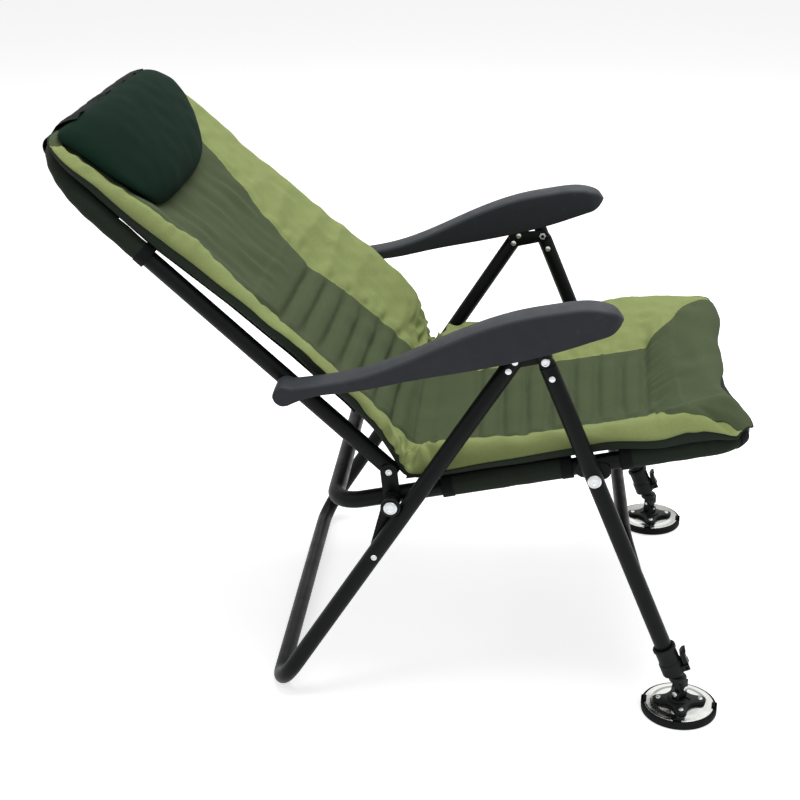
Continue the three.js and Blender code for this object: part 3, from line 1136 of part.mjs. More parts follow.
for (const [name, side] of sides) {
  const yaw = side * FOOT_YAW;
  const extensionFrame = frameAt(footX, FOOT_PIVOT_HEIGHT, 0);
  extensionFrame.position.y = side * LEG_TUBE_Y;
  add(extensionFrame, `leg_extension_${name}`, legExtension(yaw), paint);
  const footFrame = frameAt(footX, 0, 0);
  footFrame.position.y = side * LEG_TUBE_Y;
  footFrame.rotation.z = yaw;
  add(footFrame, `foot_knuckle_${name}`, knuckle(), castBlack);
  const upperTurn = -side * (Math.PI / 2);
  const lowerTurn = side > 0 ? Math.PI : 0;
  add(footFrame, `foot_upper_pin_${name}`, headedPin(FOOT_PIVOT_HEIGHT, upperTurn), zincSteel);
  add(footFrame, `foot_lower_pin_${name}`, headedPin(LOWER_PIN_HEIGHT, lowerTurn), zincSteel);
  add(footFrame, `foot_casting_${name}`, footCasting(), castBlack);
  add(footFrame, `foot_disc_${name}`, steelDisc(), polishedSteel);
  add(footFrame, `foot_pad_${name}`, rubberPad(), rubberBlack);
}

// Origin on the floor in the middle of the footprint box
chair.updateMatrixWorld(true);
const extent = new THREE.Box3().setFromObject(chair, true);
chair.position.set(-(extent.min.x + extent.max.x) / 2, 0, 0);
chair.updateMatrixWorld(true);

export default chair;
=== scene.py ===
import math

import bmesh
import bpy
import numpy as np
from mathutils import Matrix, Vector


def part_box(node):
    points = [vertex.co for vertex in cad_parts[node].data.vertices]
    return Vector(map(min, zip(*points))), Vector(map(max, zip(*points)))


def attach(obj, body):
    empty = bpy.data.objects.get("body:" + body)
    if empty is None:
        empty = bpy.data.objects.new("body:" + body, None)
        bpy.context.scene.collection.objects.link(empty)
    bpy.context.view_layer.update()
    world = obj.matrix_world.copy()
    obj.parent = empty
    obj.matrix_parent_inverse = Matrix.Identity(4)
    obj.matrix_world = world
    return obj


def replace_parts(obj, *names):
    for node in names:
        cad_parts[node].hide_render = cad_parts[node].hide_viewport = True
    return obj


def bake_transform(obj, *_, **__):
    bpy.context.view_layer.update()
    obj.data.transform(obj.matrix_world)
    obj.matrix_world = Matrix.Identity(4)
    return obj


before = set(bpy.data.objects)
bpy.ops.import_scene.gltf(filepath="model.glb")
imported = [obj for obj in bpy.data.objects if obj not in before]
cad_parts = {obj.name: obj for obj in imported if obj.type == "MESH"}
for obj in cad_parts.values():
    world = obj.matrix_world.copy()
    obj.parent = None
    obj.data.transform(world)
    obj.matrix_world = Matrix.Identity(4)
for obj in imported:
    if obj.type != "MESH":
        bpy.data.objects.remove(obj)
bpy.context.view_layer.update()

# All lengths below are millimetres in the chair's own frames; meshes are written in metres.
MM = 0.001
TURN = 2 * math.pi
X_AXIS, Y_AXIS, Z_AXIS = np.eye(3)
SIDES = (("left", 1), ("right", -1))
_lo, _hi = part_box("rear_pivot_bolt_left")
PIVOT_X = (_lo.x + _hi.x) / 2 / MM
SEAT_ANGLE, RECLINE, LEG_LEAN, STRUT_LEAN = (math.radians(a) for a in (11.1, 46.6, 22.3, 33.0))


class Plane:
    """A turned frame in the chair's side view: local x and z, with y across the chair."""

    def __init__(self, origin, turn):
        self.o = np.array([origin[0], 0.0, origin[2]])
        self.ex = np.array([math.cos(turn), 0, math.sin(turn)])
        self.ez = np.array([-math.sin(turn), 0, math.cos(turn)])

    def many(self, pts):
        p = np.asarray(pts, float)
        return self.o + p[..., :1] * self.ex + p[..., 2:] * self.ez + p[..., 1:2] * Y_AXIS

    def at(self, *point):
        return self.many(point)


PIVOT_Z, FOOT_Z = 331, 41
TUBE_Y, LEG_Y, TUBE_R = 275, 307, 12.5
RAIL_U, FRONT_U = 489, 507              # the seat's front rail in its middle and at its ends
BACK_LENGTH, BACK_BEND = 650, 105
ARM_PIVOT_UP, LEG_TOP, STRUT_U = 194, 191.5, 23
SHOWN = 66                              # how much of the leg's inner tube is out of the leg
FRONT_PIVOT_UW, HINGE_UW = (292, 0, -7.5), (4, 0, 42)
SEAT = Plane((PIVOT_X, 0, PIVOT_Z), SEAT_ANGLE)
STRUT = Plane((PIVOT_X, 0, PIVOT_Z), -STRUT_LEAN)
FRONT_PIVOT = SEAT.at(*FRONT_PIVOT_UW)
LEG = Plane(FRONT_PIVOT, LEG_LEAN)
BACK = Plane(SEAT.at(*HINGE_UW), RECLINE)
ARM = Plane(BACK.at(0, 0, ARM_PIVOT_UP), 0)
LEG_DROP = (FRONT_PIVOT[2] - FOOT_Z) / math.cos(LEG_LEAN)
FOOT_X = FRONT_PIVOT[0] + LEG_DROP * math.sin(LEG_LEAN)


def smoothstep(lo, hi, v):
    t = np.clip((np.asarray(v, float) - lo) / (hi - lo), 0, 1)
    return t * t * (3 - 2 * t)


def rail_bow(y):
    """How far the front rail of the seat lies behind its ends at a place across the chair."""
    return (FRONT_U - RAIL_U) * (1 - smoothstep(72, 218, np.abs(y)))


def waves(x, y, seed, scale, stretch=(1, 1)):
    """Smooth repeatable noise of about unit size: a sum of plane waves near one wavelength."""
    rng, count = np.random.default_rng(seed), 14
    out = np.zeros_like(np.asarray(x, float) + np.asarray(y, float))
    for _ in range(count):
        a = rng.uniform(0, TURN)
        k = TURN / (scale * rng.uniform(0.7, 1.5))
        across, along = math.cos(a) * x * stretch[0], math.sin(a) * y * stretch[1]
        out += np.sin(k * (across + along) + rng.uniform(0, TURN))
    return out / math.sqrt(count / 2) / 1.6


def unit(v):
    return v / np.linalg.norm(v, axis=-1, keepdims=True)


def eased(n):
    """Steps from 0 to 1 that start close together, as round a quarter circle."""
    return 1 - np.cos(np.linspace(0, math.pi / 2, n))


def lengths(pts):
    """Distance along a line, at each of its points."""
    return np.concatenate([[0], np.cumsum(np.linalg.norm(np.diff(pts, axis=0), axis=1))])


# Meshes


def mesh_object(verts, faces, materials, indices=None, scale=MM):
    me = bpy.data.meshes.new("part")
    me.from_pydata([tuple(float(c) * scale for c in v) for v in verts], [], [tuple(int(i) for i in f) for f in faces])
    me.update()
    for m in materials:
        me.materials.append(m)
    if indices is not None:
        me.polygons.foreach_set("material_index", np.asarray(indices, np.int32))
    me.polygons.foreach_set("use_smooth", np.full(len(me.polygons), True))
    obj = bpy.data.objects.new("part", me)
    bpy.context.scene.collection.objects.link(obj)
    return obj


def named(obj, name):
    obj.name = obj.data.name = name
    return obj


def edited(obj, change):
    bm = bmesh.new()
    bm.from_mesh(obj.data)
    change(bm)
    bm.to_mesh(obj.data)
    bm.free()
    return obj


def outward(obj, merge=True):
    """Turns the faces outwards; stored attributes only stay right where no points are merged."""
    def change(bm):
        if merge:
            bmesh.ops.remove_doubles(bm, verts=bm.verts, dist=1e-6)
        bmesh.ops.recalc_face_normals(bm, faces=bm.faces)
    return edited(obj, change)


def sharpen(obj, angle):
    """Smooth faces with sharp edges where the surface turns by more than the angle."""
    def change(bm):
        for e in bm.edges:
            e.smooth = not (len(e.link_faces) == 2 and e.calc_face_angle(0) > math.radians(angle))
        for f in bm.faces:
            f.smooth = True
    return edited(obj, change)


def modified(obj, kind, **settings):
    """The object with one modifier applied."""
    m = obj.modifiers.new("m", kind)
    for k, v in settings.items():
        setattr(m, k, v)
    me = bpy.data.meshes.new_from_object(obj.evaluated_get(bpy.context.evaluated_depsgraph_get()))
    obj.modifiers.clear()
    old, obj.data = obj.data, me
    bpy.data.meshes.remove(old)
    return obj


def bevelled(obj, width, segments=2, angle=30):
    modified(outward(obj), "BEVEL", width=width * MM, segments=segments, limit_method="ANGLE",
             angle_limit=math.radians(angle), harden_normals=False)
    return sharpen(obj, 40)


def thicken(obj, thickness, offset=0):
    return modified(obj, "SOLIDIFY", thickness=thickness * MM, offset=offset)


def joined(objs):
    """One mesh from several, with their materials and sharp edges kept."""
    bm, mats = bmesh.new(), []
    for o in objs:
        own = list(o.data.materials)
        mats += [m for m in own if m not in mats]
        first = len(bm.faces)
        bm.from_mesh(o.data)
        bm.faces.ensure_lookup_table()
        for f in bm.faces[first:]:
            f.material_index = mats.index(own[f.material_index])
        bpy.data.meshes.remove(o.data)
    obj = mesh_object([], [], mats)
    bm.to_mesh(obj.data)
    bm.free()
    return obj


def fit(name, parts, body, slot, *nodes):
    """One named piece from its parts, on a body, in the place of CAD nodes; the slot argument is not used."""
    obj = named(joined(parts) if len(parts) > 1 else parts[0], name)
    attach(obj, body)
    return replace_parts(obj, *nodes) if nodes else obj


def grid_faces(numbers, closed=False):
    """Quads between neighbours in a grid of point numbers; closed joins the ends of each row."""
    n = np.concatenate([numbers, numbers[:, :1]], 1) if closed else numbers
    return np.stack([n[:-1, :-1], n[1:, :-1], n[1:, 1:], n[:-1, 1:]], -1).reshape(-1, 4)


def numbered(rows, cols):
    return np.arange(rows * cols).reshape(rows, cols)


def ringed(rings, material):
    """A closed body from rings of points, capped at the first and the last."""
    pts = np.array(rings, float)
    n = numbered(*pts.shape[:2])
    return outward(mesh_object(pts.reshape(-1, 3), [*grid_faces(n, True), n[0, ::-1], n[-1]], [material]))


def bent_path(corners, radii, step):
    """Points along straight runs with round bends, close together in the bends."""
    corners = [np.array(c, float) for c in corners]
    if not hasattr(radii, "__len__"):
        radii = [radii] * len(corners)
    pts = corners[:1]
    for before, corner, after, radius in zip(corners, corners[1:], corners[2:], radii[1:]):
        a, b = unit(corner - before), unit(after - corner)
        turn = math.acos(np.clip(a @ b, -1, 1))
        inward = unit(b - (b @ a) * a)
        centre = corner - a * radius * math.tan(turn / 2) + inward * radius
        n = max(4, int(turn * radius / step))
        pts += [centre + radius * (a * math.sin(t) - inward * math.cos(t)) for t in turn * np.arange(n + 1) / n]
    return np.array(pts + corners[-1:])


def spread(pts, step):
    """The same line with points no further apart than step."""
    pts = np.array(pts, float)
    out = [pts[0]]
    for p, q in zip(pts, pts[1:]):
        n = max(1, int(math.ceil(np.linalg.norm(q - p) / step)))
        out += [p + (q - p) * i / n for i in range(1, n + 1)]
    return np.array(out)


def tangents(pts):
    return unit(np.gradient(pts, axis=0))


def frames_along(pts):
    """Tangents of a line, and two directions across it that don't twist."""
    along = tangents(pts)
    n = Z_AXIS if abs(along[0][2]) < 0.9 else Y_AXIS
    normals = []
    for t in along:
        n = unit(n - (n @ t) * t)
        normals.append(n)
    return along, np.array(normals), np.cross(along, normals)


def sweep(pts, radius, material, bored=(True, True)):
    """A round tube along the points, with softened lips and a short open bore at each end that is bored."""
    wall, lip, sides = 1.5, 0.6, 32
    # how far in from the end, and how far inside the surface
    lips = [(18, wall), (lip * 0.6, wall), (0, wall - 0.3), (0, lip * 0.7), (lip * 0.3, lip * 0.2), (lip, 0)]
    t, n, b = frames_along(pts)

    def ring(i, depth=0.0, inset=0.0):
        p = pts[i] + t[i] * (depth if i == 0 else -depth)
        return [p + (radius - inset) * (math.cos(a) * n[i] + math.sin(a) * b[i])
                for a in np.linspace(0, TURN, sides, endpoint=False)]

    start = [ring(0, *step) for step in lips] if bored[0] else [ring(0)]
    end = [ring(-1, *step) for step in reversed(lips)] if bored[1] else [ring(-1)]
    return sharpen(ringed(start + [ring(i) for i in range(1, len(pts) - 1)] + end, material), 50)


def rounded(profile, r, steps=3):
    """A turned profile whose inner corners are softened."""
    out = [profile[0]]
    for a, b, c in zip(profile, profile[1:], profile[2:]):
        a, b, c = (np.array(p, float) for p in (a, b, c))
        la, lc = np.linalg.norm(a - b), np.linalg.norm(c - b)
        d = min(r, la * 0.45, lc * 0.45)
        if d < 1e-3:
            out.append(tuple(b))
            continue
        p, q = b + (a - b) / la * d, b + (c - b) / lc * d
        out += [tuple((1 - s) ** 2 * p + 2 * s * (1 - s) * b + s * s * q) for s in np.arange(steps + 1) / steps]
    return out + [profile[-1]]


def rod(r, start, end):
    """Turned profile of a plain cylinder."""
    return [(0, start), (r, start), (r, end), (0, end)]


def lathe(profile, centre, axis, material, sides=48, soft=0):
    """Turned shape from points (radius, distance along the axis); soft rounds the profile's corners."""
    axis = unit(np.array(axis, float))
    side = unit(np.cross(axis, Z_AXIS if abs(axis[2]) < 0.9 else X_AXIS))
    other = np.cross(axis, side)
    spokes = [math.cos(a) * side + math.sin(a) * other for a in np.linspace(0, TURN, sides, endpoint=False)]
    verts, faces, rings = [], [], []
    for r, d in rounded(profile, soft) if soft else profile:
        count = sides if r > 1e-6 else 1
        rings.append(range(len(verts), len(verts) + count))
        verts += [centre + axis * d + r * s for s in spokes[:count]]
    for p, q in zip(rings, rings[1:]):
        for j in range(sides if len(p) + len(q) > 2 else 0):
            k = (j + 1) % sides
            quad = p[j % len(p)], p[k % len(p)], q[k % len(q)], q[j % len(q)]
            faces.append(list(dict.fromkeys(quad)))
    return sharpen(outward(mesh_object(verts, faces, [material])), 35)


def slab(outline, z0, z1, material, place, bevel=0.6, segments=2, angle=25):
    """A flat outline given thickness in a frame of its own, with softened edges."""
    rings = [[place(x, y, z) for x, y in outline] for z in (z0, z1)]
    return bevelled(ringed(rings, material), bevel, segments, angle)


def block(lo, hi, material, place, bevel=0.6, segments=2):
    (x0, y0, z0), (x1, y1, z1) = lo, hi
    return slab([(x0, y0), (x1, y0), (x1, y1), (x0, y1)], z0, z1, material, place, bevel, segments)


def strap(plane, side, inner_y, x1, z1, r1, x2, z2, r2, n=14):
    """A steel strap with round ends, standing in a side-view frame."""
    heading = math.atan2(z2 - z1, x2 - x1)
    half = math.acos((r1 - r2) / math.hypot(x2 - x1, z2 - z1))
    ends = ((x1, z1, r1, heading + half, TURN - 2 * half), (x2, z2, r2, heading - half, 2 * half))
    outline = [(x + r * math.cos(a + s * i / n), z + r * math.sin(a + s * i / n))
               for x, z, r, a, s in ends for i in range(n + 1)]
    return slab(outline, side * inner_y, side * (inner_y + 3), PAINT, lambda x, z, y: plane.at(x, y, z), 0.5)


# Materials


def linear(colour, k=1.0):
    """A written colour in linear light, made k times as bright."""
    c = [int(colour[i:i + 2], 16) / 255 for i in (1, 3, 5)]
    return tuple(min(1.0, k * (x / 12.92 if x <= 0.04045 else ((x + 0.055) / 1.055) ** 2.4)) for x in c) + (1.0,)


class Nodes:
    """Short forms for the nodes of one tree; a value that is fed in is a number, a colour or a socket."""

    def __init__(self, tree):
        self.tree = tree

    def feed(self, node, *pairs):
        for key, v in pairs:
            if hasattr(v, "links"):
                self.tree.links.new(v, node.inputs[key])
            else:
                node.inputs[key].default_value = v
        return node

    def add(self, kind, *pairs, **props):
        n = self.tree.nodes.new("ShaderNode" + kind)
        for k, v in props.items():
            setattr(n, k, v)
        return self.feed(n, *pairs)

    def noise(self, coord, scale, detail=3, rough=0.55):
        return self.add("TexNoise", ("Vector", coord), ("Scale", scale), ("Detail", detail),
                        ("Roughness", rough)).outputs["Fac"]

    def ramp(self, fac, *stops):
        r = self.add("ValToRGB", ("Fac", fac))
        for i, (p, v) in enumerate(stops):
            r.color_ramp.elements[i].position = p
            r.color_ramp.elements[i].color = (v, v, v, 1)
        return r.outputs["Color"]

    def mix(self, fac, a, b):
        return self.add("Mix", (0, fac), (6, a), (7, b), data_type="RGBA").outputs[2]

    def calc(self, op, a, b=0.0, clamp=False):
        return self.add("Math", (0, a), (1, b), operation=op, use_clamp=clamp).outputs[0]

    def bump(self, height, distance, strength=1.0, *pairs):
        return self.add("Bump", ("Height", height), ("Distance", distance), ("Strength", strength),
                        *pairs).outputs["Normal"]

    def seen_directly(self):
        """1 where camera, mirror or glass rays look, so that the pale surroundings light nothing."""
        ray = self.add("LightPath").outputs
        return self.calc("MAXIMUM", ray["Is Camera Ray"],
                         self.calc("MAXIMUM", ray["Is Glossy Ray"], ray["Is Transmission Ray"]))


class Surface(Nodes):
    """A material with its principled shader."""

    def __init__(self, name):
        self.mat = bpy.data.materials.new(name)
        self.mat.use_nodes = True
        super().__init__(self.mat.node_tree)
        self.bsdf = self.tree.nodes["Principled BSDF"]
        self.coord = self.add("TexCoord").outputs["Object"]

    def shade(self, **values):
        self.feed(self.bsdf, *((k.replace("_", " "), v) for k, v in values.items()))

    def mottled(self, colour, scale, by):
        """The colour, a little darker and lighter in broad patches."""
        return self.mix(self.noise(self.coord, scale, 4), linear(colour, 1 - by), linear(colour, 1 + by))

    def flecked(self, under, fleck):
        return self.mix(self.ramp(self.noise(self.coord, 420, 2), (0.35, 0.0), (0.65, 0.35)), under, fleck)


def hard(name, colour, rough, grain, depth, metal=0.0, by=0.12, dust=0.0, specular=0.5, rough_by=0.07):
    """Paint, plastic or metal: patches in tint and gloss, a fine grain in relief, and dust where it is given."""
    m = Surface(name)
    tint = m.mottled(colour, 9, by)
    if dust:
        tint = m.mix(m.ramp(m.noise(m.coord, 60, 5, 0.7), (0.6, 0.0), (0.75, dust)), tint, (0.35, 0.34, 0.32, 1))
    gloss = m.ramp(m.noise(m.coord, 35, 3), (0.3, rough - rough_by), (0.7, rough + rough_by))
    m.shade(Base_Color=tint, Roughness=gloss, Normal=m.bump(m.noise(m.coord, grain, 2), depth), Metallic=metal,
            Specular_IOR_Level=specular)
    return m.mat


def fabric(name, colour, rough=0.92, sheen=0.05, by=0.12, pitch=1.2, depth=0.00012, tint="#9aa68c", specular=0.12):
    """Cloth: patches, flecks, and a plain weave of the pitch in millimetres on its own flat coordinates."""
    m = Surface(name)
    col = m.flecked(m.mottled(colour, 14, by), linear(colour, 1.35))
    flat = m.add("SeparateXYZ", (0, m.add("UVMap", uv_map="weave").outputs["UV"])).outputs
    weave = m.calc("MULTIPLY", *(m.calc("SINE", m.calc("MULTIPLY", flat[i], TURN / (pitch * MM))) for i in (0, 1)))
    col = m.mix(m.calc("MULTIPLY", m.calc("ADD", weave, 1.0), 0.12), col, linear(colour, 0.62))
    creased = m.bump(m.noise(m.coord, 160, 3), 0.0005, 0.35, ("Normal", m.bump(weave, depth, 0.6)))
    m.shade(Base_Color=col, Normal=creased, Roughness=rough, Sheen_Weight=sheen, Sheen_Roughness=0.5,
            Sheen_Tint=linear(tint), Specular_IOR_Level=specular)
    return m


def cushion_fabric():
    """Two cloths in one: a stored distance to the panel seam says which; dark thread in seams and channels."""
    m = fabric("cushion_fabric", LIGHT_GREEN, sheen=0.1)
    light = m.bsdf.inputs["Base Color"].links[0].from_socket
    zone, quilt = (m.add("Attribute", attribute_name=name).outputs["Fac"] for name in ("zone", "quilt"))
    dark = m.flecked(m.mottled(DARK_GREEN, 16, 0.14), linear(DARK_GREEN, 1.3))
    col = m.mix(m.calc("MULTIPLY", m.calc("ADD", zone, 0.0004), 4000, True), light, dark)
    for away, width, share, thread in ((m.calc("ABSOLUTE", zone), 0.0012, 0.75, (0.012, 0.016, 0.01, 1)),
                                       (quilt, 0.0014, 0.5, (0.015, 0.02, 0.013, 1))):
        line = m.calc("SUBTRACT", 1.0, m.calc("MULTIPLY", away, 1 / width), True)
        col = m.mix(m.calc("MULTIPLY", line, share), col, thread)
    m.shade(Base_Color=col)
    return m.mat


LIGHT_GREEN, DARK_GREEN = "#828d59", "#434c35"
PAINT = hard("black_paint", "#080a0b", 0.42, 520, 0.00005, specular=0.12)
PLASTIC = hard("arm_plastic", "#2a2d31", 0.6, 2600, 0.00009, by=0.06, dust=0.03, specular=0.2)
NYLON = hard("black_plastic", "#0c0e0f", 0.5, 1500, 0.00005, specular=0.16)
CAST = hard("foot_casting", "#0c0e0f", 0.5, 700, 0.00025, by=0.3, specular=0.2)
RUBBER = hard("rubber", "#0e1011", 0.75, 1200, 0.0001, by=0.2, dust=0.06, specular=0.12)
STEEL = hard("polished_steel", "#a9aaa6", 0.16, 26, 0.0004, 1.0, by=0.35, rough_by=0.08)
ZINC = hard("zinc_steel", "#c9ccce", 0.3, 1400, 0.00004, 1.0, rough_by=0.08)
CUSHION = cushion_fabric()
UNDER = fabric("cushion_under", "#2a322a").mat
SLING = fabric("sling_fabric", "#272e27", pitch=1.4, by=0.16).mat
PIPING = fabric("piping", "#232a20", pitch=1.0, depth=0.0001).mat
PILLOW = fabric("pillow_fabric", "#0b1e16", rough=0.75, sheen=0.0, pitch=0.8, depth=0.00004, tint="#4a7a64",
                specular=0.03).mat
BAND = fabric("elastic_band", "#0d0e10", rough=0.85, sheen=0.04, pitch=2.2, depth=0.0003).mat
HEM = fabric("webbing_hem", "#0f1113", rough=0.8, sheen=0.04, pitch=2.4, depth=0.0003).mat


# Frame tubes


def tubes():
    def tube(name, path, body, node, radius=TUBE_R):
        fit(name, [sweep(path, radius, PAINT)], body, "black_paint", node)

    def bow(plane, x, y0, z0, y1, z1):
        return [plane.at(x, y, z) for y, z in ((-y0, z0), (-y1, z1), (y1, z1), (y0, z0))]

    loop = [(RAIL_U, 0.3), (RAIL_U, 85), (FRONT_U, 205), (FRONT_U, TUBE_Y), (-90, TUBE_Y)]
    loop += [(u, -y) for u, y in reversed(loop)]
    radii = [45 if abs(y) == TUBE_Y else 200 for u, y in loop]
    tube("seat_tube", bent_path([SEAT.at(u, y, 0) for u, y in loop], radii, 3), "seat", "seat_frame")
    tube("backrest_tube", bent_path(bow(BACK, 0, TUBE_Y, -11, TUBE_Y, BACK_LENGTH), BACK_BEND, 5),
         "backrest", "backrest_frame")
    run = (PIVOT_Z - TUBE_R - STRUT_U * math.sin(STRUT_LEAN)) / math.cos(STRUT_LEAN)
    tube("rear_leg_tube", bent_path(bow(STRUT, STRUT_U, LEG_Y, 298, LEG_Y, -run), 55, 3),
         "rear_legs", "rear_leg_frame")
    tube("front_cross", bent_path(bow(LEG, 0, 297, -180, 236, -137), 60, 3), "front_legs", "front_cross_tube", 10)
    for name, side in SIDES:
        ends = [LEG.at(0, side * LEG_Y, SHOWN - LEG_DROP), LEG.at(0, side * LEG_Y, 182.5)]
        tube(f"leg_tube_{name}", spread(ends, 40), "front_legs", f"front_leg_{name}")


# Plates, pivots and fasteners, all turned about lines across the chair

BOLT_HEAD = [(0, 0), (9.8, 0), (9.8, 1.6), (8.6, 2.6), (7.2, 2.9), (6.9, 2.3), (6.2, 2.2), (5.8, 2.8), (4.2, 3.0),
             (3.8, 2.4), (2.2, 2.3), (1.8, 2.7), (0, 2.8)]
TOP_HEAD = [(0, 0), (6.4, 0), (6.4, 1.2), (5.6, 2.4), (3.8, 2.9), (3.4, 2.0), (0, 1.9)]
RIVET_HEAD = [(0, -0.4), (4.4, 0), (4.4, 0.5), (3.2, 1.3), (0, 1.6)]
SEAT_PLATE_Y, LEG_PLATE_Y, LEG_FACE_Y = 287.8, 291.2, 319.8


def hardware(name, side):
    axis = side * Y_AXIS
    for piece, node, body, plane, y, shape in (
            ("hinge_strap", "hinge_plate", "seat", SEAT, SEAT_PLATE_Y, (0, 0, 12.5, 4, 42, 12.5)),
            ("front_ear", "front_lug", "seat", SEAT, SEAT_PLATE_Y, (280, 0, 13, 304, -7.5, 13)),
            ("rear_leg_strap", "rear_leg_bracket", "rear_legs", STRUT, LEG_PLATE_Y, (0, 0, 12.5, STRUT_U, -82, 9))):
        fit(f"{piece}_{name}", [strap(plane, side, y, *shape)], body, "black_paint", f"{node}_{name}")

    # the cradle plate on top of each rear leg, open upwards round the leg-top bolt
    top = LEG.at(0, 0, LEG_TOP) - STRUT.o
    parts = [strap(STRUT, side, LEG_PLATE_Y, STRUT_U, 276, 12.5, top @ STRUT.ex, top @ STRUT.ez, 10, 18)]
    parts += [lathe(RIVET_HEAD, STRUT.at(STRUT_U, side * y, z), d * axis, ZINC, 24)
              for z in (284, 268) for y, d in ((LEG_FACE_Y, 1), (LEG_PLATE_Y, -1))]
    fit(f"hook_plate_{name}", parts, "rear_legs", "black_paint", f"leg_hook_{name}")

    # shouldered nylon bushes
    disc = [(0, 0), (14.5, 0), (14.5, 3.4), (10.6, 3.4), (10.6, 3.0), (0, 3.0)]
    centre = SEAT.at(0, side * 317, 0)
    fit(f"rear_bush_{name}", [lathe(rod(8, -22.5, 0), centre, axis, NYLON, 32),
                              lathe(disc, centre, axis, NYLON, 56, 0.8)],
        "seat", "black_plastic", f"rear_pivot_bush_{name}")

    # bolts with a head outside and a nut inside
    for piece, node, body, centre, y, head, nut, nut_y in (
            ("rear_bolt", "rear_pivot_bolt", "seat", SEAT.o, 320.7, BOLT_HEAD, rod(6.2, 0, 5.2), 257),
            ("front_bolt", "front_pivot_bolt", "front_legs", LEG.o, LEG_FACE_Y, BOLT_HEAD, rod(6.2, 0, 5.2), 257),
            ("leg_top_screw", "leg_top_bolt", "front_legs", LEG.at(0, 0, LEG_TOP), 317.9, TOP_HEAD, rod(6, 0, 2.6),
             288.3)):
        outer, reach = centre + axis * y, y - nut_y
        fit(f"{piece}_{name}", [lathe(head, outer, axis, ZINC, 40), lathe(rod(3, -reach, 0.5), outer, axis, ZINC, 20),
                                lathe(nut, outer - axis * reach, axis, ZINC, 6, 0.5)],
            body, "zinc_steel", f"{node}_{name}")
    ring = [(3.4, 0), (9.6, 0), (9.6, 3.1), (3.4, 3.1)]
    fit(f"front_spacer_{name}", [lathe(ring, LEG.at(0, side * 291.1, 0), axis, NYLON, 40, 0.4)],
        "front_legs", "black_plastic", f"front_pivot_spacer_{name}")

    # rivets, hollow at their outer end
    for piece, node, body, centre, y0, y1, r in (
            ("hinge_rivet", "backrest_hinge_rivet", "backrest", BACK.o, 262.2, 291.1, 5),
            ("strut_rivet", "rear_leg_rivet", "rear_legs", STRUT.at(STRUT_U, 0, -82), 290.9, LEG_FACE_Y, 4.4)):
        dome = [(0, -0.5), (r, 0), (r, 0.6), (r * 0.75, 1.3), (r * 0.35, 1.6), (0, 1.65)]
        open_head = [(0, -0.5), (r, 0), (r, 0.5), (r * 0.86, 1.3), (r * 0.6, 1.6), (r * 0.45, 1.0), (r * 0.4, 0.4),
                     (0, 0.3)]
        outer, inner = centre + axis * y1, centre + axis * y0
        fit(f"{piece}_{name}", [lathe(open_head, outer, axis, ZINC, 32), lathe(dome, inner, -axis, ZINC, 32),
                                lathe(rod(2.4, y0 - y1, 0.2), outer, axis, ZINC, 16)],
            body, "zinc_steel", f"{node}_{name}")

    plug = [(0, 145.5), (10.3, 145.5), (10.3, 182.8), (11.6, 183), (11.6, 186), (10.6, 187.5), (10.6, 214),
            (7, 221.5), (0, 221.5)]
    parts = [lathe(plug, LEG.at(0, side * LEG_Y, 0), LEG.ez, NYLON, 36, 1.2)]
    parts += [lathe(RIVET_HEAD, LEG.at(0, side * y, 165.5), d * axis, ZINC, 24)
              for y, d in ((LEG_FACE_Y, 1), (294.2, -1))]
    fit(f"leg_plug_{name}", parts, "front_legs", "black_plastic", f"front_leg_plug_{name}")

    # the armrest's pivot bolt, with its head on the inner side
    centre = BACK.at(0, side * 262.2, ARM_PIVOT_UP)
    fit(f"arm_bolt_{name}", [lathe([(0, 0), (6.6, 0), (6.6, 2), (5, 3), (0, 3)], centre, -axis, ZINC, 32, 0.5),
                             lathe(rod(3, 0, 46), centre, axis, ZINC, 20)],
        "backrest", "zinc_steel", f"armrest_pivot_bolt_{name}")


# Armrests

ARM_TIP = (464, 113.7)
ARM_TOP = [(9.3, 12), (55.7, 18.6), (102, 28.6), (139.2, 41.2), (174.9, 56.5), (217.2, 76.5), (271.9, 100.4),
           (326.2, 118), (380, 128.3), (424.6, 132.3), (447.8, 127.7), (459.4, 120.4), ARM_TIP]
ARM_UNDER = [(8, -12.7), (27.8, -4), (92.8, 8), (165.2, 23.9), (245.9, 39.9), (329.9, 58.5), (389.8, 75.8),
             (438.5, 93.1), (459, 106.4), ARM_TIP]
ARM_Y, ARM_HALF, ARM_EYE_R = (288.1 + 336.1) / 2, 24.0, 15     # the middle of one side, half the width, the hinge end


def curve_through(points, xs):
    """Values of a smooth curve through the points (natural cubic in x)."""
    x, y = np.array(points, float).T
    n, h = len(x), np.diff(x)
    a, r = np.eye(n), np.zeros(n)
    for i in range(1, n - 1):
        a[i, i - 1:i + 2] = h[i - 1], 2 * (h[i - 1] + h[i]), h[i]
        r[i] = 6 * ((y[i + 1] - y[i]) / h[i] - (y[i] - y[i - 1]) / h[i - 1])
    m = np.linalg.solve(a, r)
    k = np.clip(np.searchsorted(x, xs) - 1, 0, n - 2)
    d, e, hk = xs - x[k], x[k + 1] - xs, h[k]
    return (m[k] * e ** 3 + m[k + 1] * d ** 3) / (6 * hk) + (y[k] / hk - m[k] * hk / 6) * e + \
        (y[k + 1] / hk - m[k + 1] * hk / 6) * d


